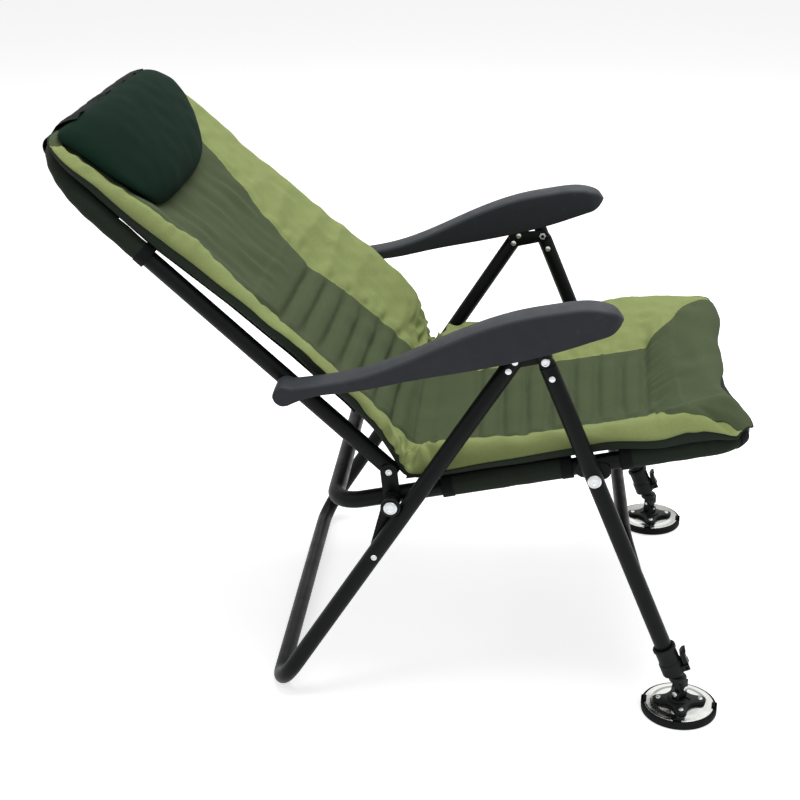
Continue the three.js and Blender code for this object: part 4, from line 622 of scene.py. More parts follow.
def armrest(name, side):
    """The moulded shell: a rounded section along the arm, hollow underneath between its solid ends."""
    xs = np.concatenate([ARM_EYE_R * (eased(12) - 1), np.linspace(6, 436, 90),
                         436 + 28 * np.sin(np.linspace(0.08, math.pi / 2, 16))])
    xs = np.unique(np.round(xs, 3))
    circle = np.sqrt(np.clip(ARM_EYE_R ** 2 - xs ** 2, 0, None))
    top = np.where(xs < 9.3, circle, curve_through(ARM_TOP, np.clip(xs, 9.3, 464)))
    under = np.where(xs < 8, -circle, curve_through(ARM_UNDER, np.clip(xs, 8, 464)))
    rings = []
    for x, zt, zb in zip(xs, top, under):
        w = ARM_HALF * math.sqrt(max(0.02, 1 - (max(x - 438, 0) / 26.4) ** 2))
        zt = max(zt, zb + 0.4)
        height = zt - zb
        rt, rb = min(6.0, height * 0.45, w * 0.8), min(1.6, height * 0.2)
        edge = w - rt
        # half of the section with its rounded edges, the crowned top, the other half, and the channel underneath
        pts = [(-w + rb * (1 - math.sin(a)), zb + rb * (1 - math.cos(a))) for a in np.linspace(0, math.pi / 2, 5)]
        pts += [(-w, zb + (height - rt) * s) for s in (0.35, 0.7)]
        pts += [(-w + rt * (1 - math.cos(a)), zt - rt + rt * math.sin(a)) for a in np.linspace(0, math.pi / 2, 7)]
        crown = 1.2 * min(1, height / 30)
        pts += [(-edge + 2 * edge * s, zt + crown * math.sin(math.pi * s)) for s in (0.25, 0.5, 0.75)]
        pts += [(-p, z) for p, z in reversed(pts[:14])]
        depth = max(height - 9, 0) * float(smoothstep(95, 104, x) * (1 - smoothstep(444, 450, x)))
        iw = w - 3.0
        channel = [(iw, 0), (iw, 0.5), (iw - 1, 1), (0.4 * iw, 1)]
        channel += [(-p, s) for p, s in reversed(channel)]
        pts += [(p, zb + depth * s) for p, s in channel]
        rings.append([ARM.at(x, side * ARM_Y + p, z) for p, z in pts])
    fit(f"arm_shell_{name}", [sharpen(ringed(rings, PLASTIC), 55)], f"armrest_{name}", "arm_plastic",
        f"armrest_{name}")


# Feet, collars and levers

LOWER_PIN_Z, UPPER_PIN_Z = 30, 41
LOBE_REACH, LOBE_R, HUB_R = 31, 8.5, 17


def turned_place(base, yaw):
    """Places in a frame that stands on the base, turned about the vertical."""
    c, s = math.cos(yaw), math.sin(yaw)
    return lambda x, y, z: base + np.array([x * c - y * s, x * s + y * c, z])


def star_outline():
    """Four round lobes with hollow sides between them."""
    out = []
    for a in math.pi / 4 + np.arange(4) * math.pi / 2:
        x, y = LOBE_REACH * math.cos(a), LOBE_REACH * math.sin(a)
        out += [(x + LOBE_R * math.cos(a + t), y + LOBE_R * math.sin(a + t)) for t in np.linspace(-1.25, 1.25, 9)]
        out += [(r * math.cos(a + math.radians(t)), r * math.sin(a + math.radians(t)))
                for t, r in ((22, 26.0), (31, 22.6), (45, 21.4), (59, 22.6), (68, 26.0))]
    return out


def fork(place, along, z0, z1, eye_z):
    """Two ears with round ends either side of the knuckle, standing along local axis 0 or 1."""
    parts = []
    for a, b in ((6.3, 10.3), (-10.3, -6.3)):
        lo, hi, eye = [-5.8, -5.8, z0], [5.8, 5.8, z1], [0, 0, eye_z]
        lo[along], hi[along], eye[along] = a, b, a
        axis = place(*np.eye(3)[along]) - place(0, 0, 0)
        parts += [block(lo, hi, CAST, place), lathe(rod(5.8, 0, 4), place(*eye), axis, CAST, 32, 0.6)]
    return parts


def foot(name, side):
    base, yaw = np.array([FOOT_X, side * LEG_Y, 0.0]), side * math.pi / 4
    place = turned_place(base, yaw)
    pad = [(0, 0), (54.4, 0), (56, 1.6), (56, 9.8), (55.4, 10.8), (54, 11), (0, 11)]
    parts = [lathe(pad, base, Z_AXIS, RUBBER, 80, 0.8)]
    for k in range(4):
        tab = turned_place(base, yaw + k * math.pi / 2 + math.radians(37))
        parts += [block((x, -6, z), (56, 6, 15.3), RUBBER, tab, 0.7) for x, z in ((51.9, 6), (48, 13.3))]
    fit(f"foot_rubber_{name}", parts, f"foot_{name}", "rubber", f"foot_pad_{name}")
    disc = [(0, 11.3), (50.7, 11.3), (51.5, 11.8), (51.3, 12.7), (47, 12.7), (43, 12.8), (37, 13.9), (0, 13.9)]
    fit(f"foot_plate_{name}", [lathe(disc, base, Z_AXIS, STEEL, 80, 0.6)], f"foot_{name}", "polished_steel",
        f"foot_disc_{name}")

    hub = [(0, 14.4), (HUB_R, 14.4), (HUB_R, 20), (16.4, 20.6), (0, 20.6)]
    parts = [slab(star_outline(), 14.2, 19.7, CAST, place, 0.9), lathe(hub, base, Z_AXIS, CAST, 40, 0.6)]
    flat = math.asin(6.4 / HUB_R)
    for e in (1, -1):
        cheek = [(HUB_R * math.cos(t), e * HUB_R * math.sin(t)) for t in np.linspace(flat, math.pi - flat, 15)]
        parts.append(slab(cheek[::e], 18, 22.4, CAST, place, 0.8))
    parts += fork(place, 1, 19, LOWER_PIN_Z, LOWER_PIN_Z)
    screw = [(0, 18.5), (3.8, 18.5), (3.8, 20.4), (3.1, 21.5), (1.6, 21.9), (1.5, 20.9), (0, 20.8)]
    parts += [lathe(screw, place(LOBE_REACH * math.cos(a), LOBE_REACH * math.sin(a), 0), Z_AXIS, ZINC, 24)
              for a in math.pi / 4 + np.arange(4) * math.pi / 2]
    fit(f"foot_casting_piece_{name}", parts, f"foot_{name}", "foot_casting", f"foot_casting_{name}")
    fit(f"knuckle_block_{name}", [block((-6, -6, 24), (6, 6, 47), CAST, place, 1.2, 3)], f"foot_knuckle_{name}",
        "foot_casting", f"foot_knuckle_{name}")

    # both cross pins have their heads on the outer side
    along, across = place(1, 0, 0) - base, side * (place(0, 1, 0) - base)
    for label, z, axis, body in (("lower", LOWER_PIN_Z, across, "foot"),
                                 ("upper", UPPER_PIN_Z, along, "leg_extension")):
        head = [(0, 10.6), (4.4, 10.6), (4.4, 11.7), (3.4, 12.3), (0, 12.4)]
        fit(f"foot_pin_{label}_{name}", [lathe(rod(2.5, -11.4, 10.6), place(0, 0, z), axis, ZINC, 24, 0.3),
                                         lathe(head, place(0, 0, z), axis, ZINC, 28, 0.4)],
            f"{body}_{name}", "zinc_steel", f"foot_{label}_pin_{name}")

    # the leg's inner tube, with its fork round the upper pin
    bridge = [(0, 51), (12.4, 51), (13, 52), (13, 58.4), (11.4, 60), (0, 60)]
    ends = [LEG.at(0, side * LEG_Y, -LEG_DROP + up) for up in (15, 195)]
    parts = fork(place, 0, UPPER_PIN_Z, 55, UPPER_PIN_Z)
    parts += [lathe(bridge, base - 4 * X_AXIS, Z_AXIS, CAST, 40, 0.9),
              sweep(spread(ends, 30), 10.3, PAINT, (False, True))]
    fit(f"extension_rod_{name}", parts, f"leg_extension_{name}", "black_paint", f"leg_extension_{name}")


def collar(name, side):
    """The clamp at the foot of each leg tube, and its lever."""
    end = SHOWN - LEG_DROP
    profile = [(11.2, -40), (16.6, -40), (17.2, -39.2), (17.2, -20.8), (16.6, -20), (15.6, -19.6), (15.6, 1.4),
               (16.6, 1.8), (17.2, 2.4), (17.2, 6.2), (16.4, 7), (13.0, 7), (13.0, 1), (11.2, -1), (11.2, -40)]
    parts = [lathe(profile, LEG.at(0, side * LEG_Y, end), LEG.ez, NYLON, 56, 0.6)]

    def place(x, y, z):
        """From the lever's pin."""
        return LEG.at(21 + x, side * LEG_Y + y, end - 33 + z)

    parts += [block((-9.5, y, -4.5), (4.5, y + 3, 4.5), NYLON, place, 1.0, 3) for y in (9.3, -12.3)]
    fit(f"collar_ring_{name}", parts, "front_legs", "black_plastic", f"lock_collar_{name}")
    lever = [(-3.2, 0), (-2.7, -2.0), (-0.8, -3.5), (2.2, -3.5), (3.5, -2.4), (3.8, 0), (4.0, 9), (3.8, 18.2),
             (5.1, 22.4), (7.3, 25.4), (6.6, 26), (2.6, 26), (-0.6, 23.7), (-3.2, 20.8)]
    parts = [slab(lever, -9, 9, NYLON, lambda x, z, y: place(x, y, z), 0.9, 3, 40),
             lathe(rod(2, -12.3, 12.3), place(0, 0, 0), Y_AXIS, ZINC, 20, 0.3)]
    fit(f"lever_{name}", parts, f"lock_lever_{name}", "black_plastic", f"lock_lever_{name}")


# Mattress: one padded piece over seat and backrest, folded at the crease

ACROSS = [-286, -262, -235, -200, -150, -75, 0, 60, 122, 165, 205, 258, 286]
# Height of the padding over its underside: a station along the seat, then values at the places across
SEAT_PADDING = [
    (531, 5, 6, 8, 9, 9, 9, 9, 9, 9, 9, 8, 6, 5),
    (516, 8, 10, 15, 14, 12, 11, 11, 11, 11, 11, 10, 8, 7),
    (505, 8, 13, 26, 23, 18, 15, 15, 16, 17, 17, 16, 15, 12),
    (495, 14, 20, 42, 29, 20, 18, 18, 19, 20, 21, 20, 17, 14),
    (480, 26, 29, 43, 29, 22, 21, 21, 22, 23, 24, 23, 19, 16),
    (460, 34, 36, 42, 28, 22, 23, 23, 24, 26, 27, 26, 24, 20),
    (435, 38, 42, 42, 28, 21, 22, 23, 24, 26, 28, 29, 31, 27),
    (410, 36, 38, 35, 24, 17, 19, 20, 20, 20, 25, 30, 37, 33),
    (394, 35, 37, 33, 19, 6, 11, 12, 11, 6, 18, 28, 39, 35),
    (345, 35, 37, 32, 17, 5, 12, 14, 12, 5, 17, 27, 39, 35),
    (290, 36, 38, 33, 18, 5, 12, 14, 12, 5, 17, 27, 37, 33),
    (200, 38, 40, 35, 20, 6, 12, 14, 12, 6, 18, 28, 36, 33),
    (120, 42, 46, 41, 28, 8, 12, 14, 12, 8, 19, 30, 38, 36),
    (75, 44, 50, 45, 30, 11, 12, 13, 12, 11, 21, 34, 46, 42),
    (50, 38, 44, 40, 26, 12, 12, 12, 12, 12, 20, 30, 40, 36),
    (22, 18, 20, 20, 16, 12, 12, 12, 12, 12, 15, 18, 20, 18),
]
BACK_PADDING = [
    (-8, 10, 14, 14, 12, 11, 11, 11, 11, 11, 12, 14, 16, 14),
    (17, 14, 20, 18, 14, 11, 12, 12, 12, 11, 14, 18, 24, 22),
    (69, 18, 23, 18, 10, 6, 12, 13, 12, 6, 14, 22, 30, 28),
    (136, 22, 27, 21, 9, 5, 13, 14, 13, 5, 14, 24, 31, 29),
    (192, 22, 27, 21, 9, 5, 13, 14, 13, 5, 14, 24, 31, 29),
    (239, 22, 27, 21, 9, 6, 13, 14, 13, 6, 14, 24, 32, 29),
    (264, 22, 27, 21, 11, 9, 15, 16, 15, 9, 16, 25, 32, 29),
    (341, 26, 31, 26, 16, 15, 16, 17, 16, 14, 20, 28, 33, 29),
    (419, 36, 42, 37, 26, 22, 20, 20, 20, 21, 23, 28, 34, 28),
    (490, 38, 44, 34, 22, 18, 17, 17, 17, 19, 22, 28, 38, 32),
    (552, 28, 34, 24, 16, 14, 14, 14, 14, 16, 19, 26, 37, 31),
    (608, 22, 27, 20, 15, 13, 13, 13, 13, 15, 17, 24, 34, 28),
    (640, 14, 18, 18, 15, 13, 12, 12, 12, 13, 15, 17, 20, 16),
    (664, 8, 10, 10, 9, 9, 9, 9, 9, 9, 9, 10, 11, 9),
]
HALF_WIDTH, CREASE_U = 286.0, 16
FRONT_END, TOP_END, RIM = 15.0, 18.0, 26.0      # how far in from each edge the surface rounds off
CORNER_R = 66                           # corners at the top, seen from the front

# More of its measures: places up the back with their values, then places along the seat with theirs.
# The sides of the dark panel, seen across the chair:
FAR_SEAM = ([-12, 16, 48, 86, 122, 160, 200, 239, 264, 339, 429, 531, 568, 620, 664],
            [142, 144, 143, 138, 133, 128, 120, 108, 107, 116, 150, 186, 200, 222, 250],
            [0, 60, 120, 274, 394, 412, 435, 455, 472, 505, 515, 525],
            [146, 142, 134, 124, 120, 126, 139, 172, 216, 258, 274, 300])
NEAR_SEAM = ([-12, 16, 48, 86, 122, 160, 200, 239, 264, 339, 429, 490, 608, 640, 664],
             [164, 168, 168, 166, 165, 163, 161, 158, 164, 214, 254, 263, 263, 262, 300],
             [0, 60, 120, 274, 392, 395, 399, 404, 412, 440, 470, 490, 505, 515],
             [162, 158, 152, 148, 148, 190, 235, 252, 259, 266, 270, 273, 280, 300])
# The seam between the light cloth and the dark underside, above the underside's edge:
LOW_SEAM = ([-12, 17, 69, 192, 337, 456, 504, 570, 627, 664], [10, 13, 15, 17, 17, 19, 15, 15, 9, 4],
            [0, 60, 120, 300, 400, 430, 456, 486, 505, 531], [9, 11, 13, 17, 24, 29, 28, 17, 9, 3])
# How far its middle sinks with the slings:
MATTRESS_SAG = ([-12, 30, 80, 250, 340, 430, 500, 600], [8, 18, 25, 26, 18, 8, 3, 0],
                [0, 60, 150, 400, 455, 492], [8, 14, 20, 20, 10, 0])
# How much the near front corner stops short, across the chair:
FRONT_TRIM = ([-290, -262, -230, -200, -150, -100, 0, 60], [11, 14, 21, 28, 28, 18, 3, 0])


def smoothed(grid, times, axis):
    for _ in range(times):
        g = np.moveaxis(grid, axis, 0)
        g[1:-1] = 0.5 * g[1:-1] + 0.25 * (g[:-2] + g[2:])
    return grid


def read_grid(grid, row, col):
    """Values between the points of a grid."""
    i, j = (np.clip(f.astype(int), 0, n - 2) for f, n in zip((row, col), grid.shape))
    a, b = row - i, col - j
    return (grid[i, j] * (1 - a) * (1 - b) + grid[i + 1, j] * a * (1 - b) + grid[i, j + 1] * (1 - a) * b
            + grid[i + 1, j + 1] * a * b)


def sling_rear(up):
    """How far the mattress's underside stands in front of the backrest tubes' plane, at its sides."""
    return np.interp(up, [-40, -10, 25, 60, 110, 220, 330, 455, 600, 700], [2, 8, 20, 29, 33, 33, 28, 17, 16, 16])


def mattress_line():
    """Underside of the mattress's sides in side view, from the front end to the top, with its stations."""
    r, turn = 16.8, np.radians(np.linspace(6, 86, 12))
    pts = [SEAT.at(FRONT_U + r * math.cos(a), 0, r * math.sin(a)) for a in turn]
    marks = list(FRONT_U + r * (math.pi / 2 - turn))
    for u, w in [(u, r) for u in np.linspace(505, 62, 98)] + [(50, 16), (38, 15.5), (27, 16), (18, 19), (11, 25)]:
        pts.append(SEAT.at(u, 0, w))
        marks.append(u)
    ups = np.linspace(-12, 664, 150)
    pts += [BACK.at(float(sling_rear(up)), 0, up) for up in ups]
    line = smoothed(np.array(pts)[:, [0, 2]], 8, 0)
    s, n = lengths(line), len(marks)
    return line, s, (np.array(marks), s[:n]), (ups, s[n:])


def padding(stations, heights, s_at, y_at):
    """The table of heights as a smooth surface, read at the given places."""
    order = np.argsort(stations)
    stations, heights = np.array(stations)[order], np.array(heights, float)[order]
    step = 3.0
    s_grid, y_grid = np.arange(stations[0], stations[-1] + step, step), np.arange(-288, 289, step)
    by_row = np.array([np.interp(y_grid, ACROSS, h) for h in heights])
    grid = np.array([np.interp(s_grid, stations, column) for column in by_row.T]).T
    grid = smoothed(smoothed(grid, 14, 0), 8, 1)
    return read_grid(grid, *(np.clip((at - g[0]) / step, 0, len(g) - 1.001)
                             for at, g in ((s_at, s_grid), (y_at, y_grid))))


def hollow(y):
    """Share of the slings' sag across the chair: none at the rails, all of it in the middle."""
    y = np.asarray(y, float)
    return np.where(y < 0, 1 - np.abs(y / 280) ** 2.5, np.cos(np.clip(y / 280, -1, 1) * math.pi / 2) ** 2).clip(0, 1)


def fullness(d, r=1.0):
    """Height of a quarter circle, at a distance in from its edge."""
    return np.sqrt(np.clip(1 - np.clip(1 - d / r, 0, 1) ** 2, 0, 1))


def folds(a, b, seed, scale, stretch):
    """Sharp crests between rounded hollows, as cloth shows where it is gathered."""
    return 0.6 - 1.6 * np.sqrt(waves(a, b, seed, scale, stretch) ** 2 + 0.01)


def mattress_surface():
    """Points of the mattress's upper and lower side in one grid, with its seams and channels."""
    line, s_line, seat_marks, back_marks = mattress_line()
    total = s_line[-1]

    def on_line(marks, table):
        """Distances along the line for the stations of a table."""
        return [np.interp(row[0], *marks) for row in table]

    seat_rising = seat_marks[0][::-1], seat_marks[1][::-1]
    rows = np.concatenate([FRONT_END * eased(7), np.arange(FRONT_END + 4, total - TOP_END - 2, 4.0),
                           total - TOP_END * eased(8)[::-1]])
    rim = RIM * eased(9)
    middle = np.linspace(RIM, 2 * HALF_WIDTH - RIM, 131)[1:-1]
    cols = np.concatenate([rim, middle, 2 * HALF_WIDTH - rim[::-1]]) - HALF_WIDTH
    S, Y = np.meshgrid(rows, cols, indexing="ij")
    A = np.abs(Y)
    at = S + np.interp(Y, *FRONT_TRIM) * np.clip(1 - S / 150, 0, 1)
    seat_u = np.interp(at, *seat_marks[::-1])
    up = np.interp(at, *back_marks[::-1])
    from_crease = at - np.interp(CREASE_U, *seat_rising)
    back = from_crease > 0
    x, z, tx, tz = (np.interp(at, s_line, v) for v in (*line.T, *(np.gradient(c, s_line) for c in line.T)))
    ln = np.hypot(tx, tz)
    nx, nz = tz / ln, -tx / ln

    def along(table):
        return np.where(back, np.interp(up, *table[:2]), np.interp(seat_u, *table[2:]))

    def on_back(v):
        return np.where(back, v, 0)

    def on_seat(v):
        return np.where(back, 0, v)

    # distances to the dark panel's sides, and to the channels across it
    zone = np.where(Y > 0, along(FAR_SEAM) - Y, along(NEAR_SEAM) + Y)
    across = np.clip((Y + 147) / 268, 0, 1)
    # eight on the seat, wider apart on its far side, and seven on the back
    channels = [np.where(back, 1e3, np.abs(seat_u - (377 - 36.5 * i) * (1 - across) - (394 - 39.5 * i) * across))
                for i in range(8)]
    channels += [np.where(back, np.abs(up - (244 - 38.3 * i) + 8 * (across - 0.5)), 1e3) for i in range(7)]
    dist = np.min(channels, 0)
    thick = padding(on_line(back_marks, BACK_PADDING) + on_line(seat_rising, SEAT_PADDING),
                    [r[1:] for r in BACK_PADDING + SEAT_PADDING], at, Y)
    smooth_thick = thick.copy()
    thick -= 8.5 * np.exp(-(dist / 5.5) ** 2) * smoothstep(-24, 2, zone)
    thick += 2.0 * smoothstep(4, 16, dist) * smoothstep(-4, 10, zone) * (dist < 60)
    thick -= 3.6 * np.exp(-(zone / 5.0) ** 2) * np.where(thick > 6, 1, 0.3)

    # gathers: beside the sewn lines, at the crease, on the near border and along the knee's seam
    border = smoothstep(0, 30, -zone)
    thick += 1.3 * waves(at, Y, 11, 24, (1.0, 0.25)) * np.exp(-((zone + 16) / 22) ** 2)
    bunch = np.exp(-(from_crease / 58) ** 2) * smoothstep(150, 225, A)
    thick += 9.5 * bunch * folds(at, Y, 5, 27, (1.0, 0.3)) * border
    thick += 4.0 * on_back(smoothstep(500, 580, up)) * smoothstep(-215, -250, Y) * folds(at, Y, 8, 40, (0.8, 0.8))
    thick += 1.6 * border * folds(at, Y, 17, 110, (1.0, 0.6)) + 1.0 * waves(at, Y, 29, 30) * border
    thick += 1.0 * waves(at, Y, 23, 80) * (1 - border)
    slack = on_back(smoothstep(262, 300, up) * (1 - smoothstep(440, 520, up))) * (1 - border)
    thick += 1.8 * slack * waves(at * 0.9 + Y * 0.35, Y, 31, 46, (0.45, 1.2))
    # the far border is fuller above the armrest
    thick += 7 * on_back(smoothstep(10, 60, up) * (1 - smoothstep(180, 260, up))) * smoothstep(180, 250, Y)
    knee = on_seat(smoothstep(388, 398, seat_u) * (1 - smoothstep(470, 505, seat_u)))
    thick += 2.4 * knee * np.exp(-np.clip(seat_u - 398, 0, None) / 22) * waves(at, Y, 37, 30, (0.3, 1.0))
    thick += 1.3 * knee * waves(at, Y, 41, 70) * (1 - border)
    slit = np.abs((seat_u - 462) * 0.65 + (Y + 262) * 0.76)
    thick -= 6 * np.exp(-(slit / 4) ** 2) * smoothstep(-250, -262, Y) * knee
    thick = np.maximum(thick, 4.0)

    # rims: the light cloth meets the dark underside part of the way down the side
    low_seam = np.minimum(along(LOW_SEAM), thick * 0.75)
    ends = fullness(np.minimum(S / FRONT_END, (total - S) / TOP_END))
    top = low_seam + (thick - low_seam) * ends * fullness(HALF_WIDTH - A, RIM)
    low = low_seam * (1 - ends * fullness(HALF_WIDTH - A, 20.0))

    # the slings sag under the middle, and the near front side hangs a little over the rail
    hang = on_seat(smoothstep(300, 400, seat_u) * (1 - smoothstep(494, 512, seat_u)))
    shift = -along(MATTRESS_SAG) * hollow(Y) - 14 * hang * smoothstep(-262, -286, Y)

    # outline seen from the front: rounded ends, slightly drawn in at the crease
    corner = CORNER_R * (1 - fullness(BACK_PADDING[-1][0] - up, CORNER_R)) * back + 22 * (1 - fullness(S, 24))
    width = (HALF_WIDTH - corner) / HALF_WIDTH * (1 - 0.012 * np.exp(-(from_crease / 90) ** 2))
    yy = Y * width - 6 * hang * smoothstep(-250, -286, Y)
    yy += 1.6 * waves(at, 0 * Y, 47, 90) * smoothstep(240, 286, A) * np.sign(Y)
    bow = on_seat(smoothstep(394, 500, seat_u)) * rail_bow(yy)

    def surface(h):
        px = x + nx * (h + shift) - bow * math.cos(SEAT_ANGLE)
        pz = z + nz * (h + shift) - bow * math.sin(SEAT_ANGLE)
        return np.stack([px, yy, pz], -1)
    return dict(S=at, Y=Y, top=surface(top), low=surface(low), smooth=surface(smooth_thick), up=up, zone=zone,
                quilt=np.where(zone > 0, dist, 1e3))


def store_uv(obj, flat):
    """Flat coordinates in metres for the weave."""
    uv = obj.data.uv_layers.new(name="weave")
    loops = np.zeros(len(obj.data.loops), np.int32)
    obj.data.loops.foreach_get("vertex_index", loops)
    uv.data.foreach_set("uv", np.asarray(flat, np.float32)[loops].ravel())


def padded_body(top, low, flat, materials, **fields):
    """A closed body from two grids of points that share their rims; fields are stored at its points."""
    n, k = flat[0].shape
    upper = numbered(n, k)
    lower = upper.copy()
    lower[1:-1, 1:-1] += n * k
    faces = np.concatenate([grid_faces(upper), grid_faces(lower)[:, [0, 3, 2, 1]]])
    used = np.unique(faces)
    remap = np.full(2 * n * k, -1)
    remap[used] = np.arange(len(used))
    verts = np.concatenate([top.reshape(-1, 3), low.reshape(-1, 3)])
    obj = mesh_object(verts[used], remap[faces], materials, np.repeat([0, len(materials) - 1], len(faces) // 2))
    store_uv(obj, np.tile(np.stack(flat, -1).reshape(-1, 2), (2, 1))[used] * MM)
    for name, (values, below) in fields.items():
        stored = np.concatenate([values.ravel(), np.full(n * k, below)])[used] * MM
        obj.data.attributes.new(name, "FLOAT", "POINT").data.foreach_set("value", stored.astype(np.float32))
    return outward(obj, merge=False)


def piping(line, r=1.3, sides=8):
    """A thin sewn cord round a closed line."""
    t = unit(np.roll(line, -1, 0) - np.roll(line, 1, 0))
    a = unit(np.cross(t, [0.3, 0.2, 1.0]))
    b = np.cross(t, a)
    rings = np.stack([line + r * (math.cos(w) * a + math.sin(w) * b) for w in TURN * np.arange(sides) / sides], 1)
    n = numbered(len(line), sides)
    obj = mesh_object(rings.reshape(-1, 3), grid_faces(np.concatenate([n, n[:1]]), True), [PIPING])
    store_uv(obj, np.stack([np.repeat(lengths(line), sides), np.tile(np.arange(sides) * 1.5, len(line))], 1) * MM)
    return outward(obj, merge=False)


def mattress(m):
    top = m["top"]
    body = padded_body(top, m["low"], (m["Y"], m["S"]), [CUSHION, UNDER],
                       zone=(m["zone"], -30), quilt=(m["quilt"], 1e3))
    rim = np.concatenate([top[0, :], top[1:, -1], top[-1, -2::-1], top[-2:0:-1, 0]])
    start, end = SEAT.at(70, 0, 16) * MM, BACK.at(20, 0, 60) * MM
    for obj, name in ((body, "mattress"), (piping(rim), "mattress_piping")):
        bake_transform(named(obj, name), "seat", "backrest", start=tuple(start), end=tuple(end))
    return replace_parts(body, "seat_cushion", "backrest_cushion")


# Pillow and band

PILLOW_FOOT, PILLOW_RISE = 484, 177


def pillow(m):
    """A filled pillow that lies on the mattress, wider along the top edge of the backrest than below."""
    ups = [484, 487, 493, 503, 516, 540, 575, 610, 640, 655, 661]
    far = [10, 58, 92, 122, 148, 190, 230, 246, 244, 228, 196]
    near = [-100, -165, -205, -232, -250, -262, -265, -263, -257, -240, -208]
    rows = PILLOW_FOOT + PILLOW_RISE * (1 - np.cos(math.pi * np.linspace(0, 1, 60))) / 2
    U, T = np.meshgrid(rows, np.sin(np.linspace(-math.pi / 2, math.pi / 2, 80)), indexing="ij")
    right, left = (smoothed(np.interp(U, ups, edge), 3, 0) for edge in (far, near))
    Y = (right + left) / 2 + T * (right - left) / 2
    # the mattress under it, read from its own surface
    on_back = m["up"][:, 0] > 460
    front = (m["smooth"][on_back] - BACK.o) @ BACK.ex
    bed = 1.6 + read_grid(front, *(np.interp(v, known, np.arange(len(known)))
                                   for v, known in ((U, m["up"][on_back, 0]), (Y, m["Y"][0]))))
    r = 2 * (U - PILLOW_FOOT) / PILLOW_RISE - 1
    f = np.clip(1 - np.abs(r) ** 3.0, 0, 1) ** 0.5 * np.clip(1 - np.abs(T) ** 3.0, 0, 1) ** 0.5
    edge = 7.0 - 5.0 * smoothstep(0.5, 1, -T)
    face = (bed + edge) * (1 - f) + (82 + 3 * np.clip(r, -1, 1)) * f + 0.9 * waves(U, Y, 3, 60) * f
    behind = bed + edge * (1 - np.clip(f * 1.8, 0, 1))
    faces = (BACK.many(np.stack([v, Y, U], -1)) for v in (np.maximum(face, behind), behind))
    obj = fit("pillow", [padded_body(*faces, (Y, U), [PILLOW])], "backrest", "pillow_fabric", "head_pillow")


def cloth(grid, plane, material):
    """A sheet from a grid of points in a side-view frame."""
    grid = np.array(grid, float)
    return mesh_object(plane.many(grid.reshape(-1, 3)), grid_faces(numbered(*grid.shape[:2])), [material])


def band():
    """Elastic webbing, gathered along the pillow's top edge and drawn over the top of the backrest."""
    path = [(55, 655), (46, 661), (36, 666), (26, 669)]
    path += [(17.4 * math.cos(a), BACK_LENGTH + 19 * math.sin(a)) for a in np.linspace(math.radians(62), math.pi, 14)]
    p = spread(path + [(-17.2, 630), (-17.0, 610), (-16.8, 592)], 3)
    length = lengths(p)
    V, Y = np.meshgrid(np.arange(len(p)), np.linspace(-194, 194, 150), indexing="ij")
    ruffle = np.exp(-length / 26)[V] * 2.2 * waves(Y, 0 * Y, 51, 34)
    obj = cloth(np.stack([p[V, 0] + 0.4 * ruffle, Y, p[V, 1] + ruffle], -1), BACK, BAND)
    store_uv(obj, np.stack([Y.ravel(), length[V.ravel()]], 1) * MM)
    obj = fit("band", [thicken(obj, 1.4, 1)], "backrest", "elastic_band", "pillow_band")


# Slings

SLEEVE_R, HEM_R = 14.2, 15.5


def area_of(obj):
    return sum(p.area for p in obj.data.polygons)


def planar_uv(obj):
    """Flat coordinates for cloth joined from several strips."""
    co = np.array([v.co for v in obj.data.vertices])
    store_uv(obj, np.stack([co[:, 1], co[:, 0] + co[:, 2]], 1))
    return obj


class Sling:
    """The strips of one sling and its webbing hems, with the cloth's area added up."""

    def __init__(self, plane, body, tube):
        self.plane, self.body, self.tube = plane, body, tube
        self.parts, self.hems, self.area = [], [], 0.0

    def add(self, rows, thickness):
        obj = cloth(rows, self.plane, SLING)
        self.area += area_of(obj)
        self.parts.append(thicken(obj, thickness))

    def hem(self, rows, thickness=1.1):
        self.hems.append(thicken(cloth(rows, self.plane, HEM), thickness))

    def finish(self, name, width, hem_width, node):
        made = fit(f"{name}_cloth", [planar_uv(joined(self.parts))], self.body, "sling_fabric", node)
        webbing = fit(f"{name}_hems", [planar_uv(joined(self.hems))], self.body, "sling_fabric")


def seat_sag(u, y):
    """How far the seat cloth hangs below the rails in its middle."""
    return float(np.interp(u, [0, 60, 150, 400, 455, 492], [8, 15, 22, 22, 11, 0]) * hollow(y))


def back_sag(up, y):
    return float(np.interp(up, [92, 250, 340, 430, 500, 560], [26, 27, 19, 9, 3, 0]) * hollow(y))


def rings_along(line, r, side):
    """Open rings round a rail in the seat's plane, for a sleeve that follows a bend."""
    line = spread(line, 4)
    rows = []
    for p, d in zip(line, tangents(line)):
        out = side * np.cross(Z_AXIS, d)
        rows.append([p + r * (math.cos(a) * out + math.sin(a) * Z_AXIS)
                     for a in np.radians(np.linspace(-170, 170, 40))])
    return rows


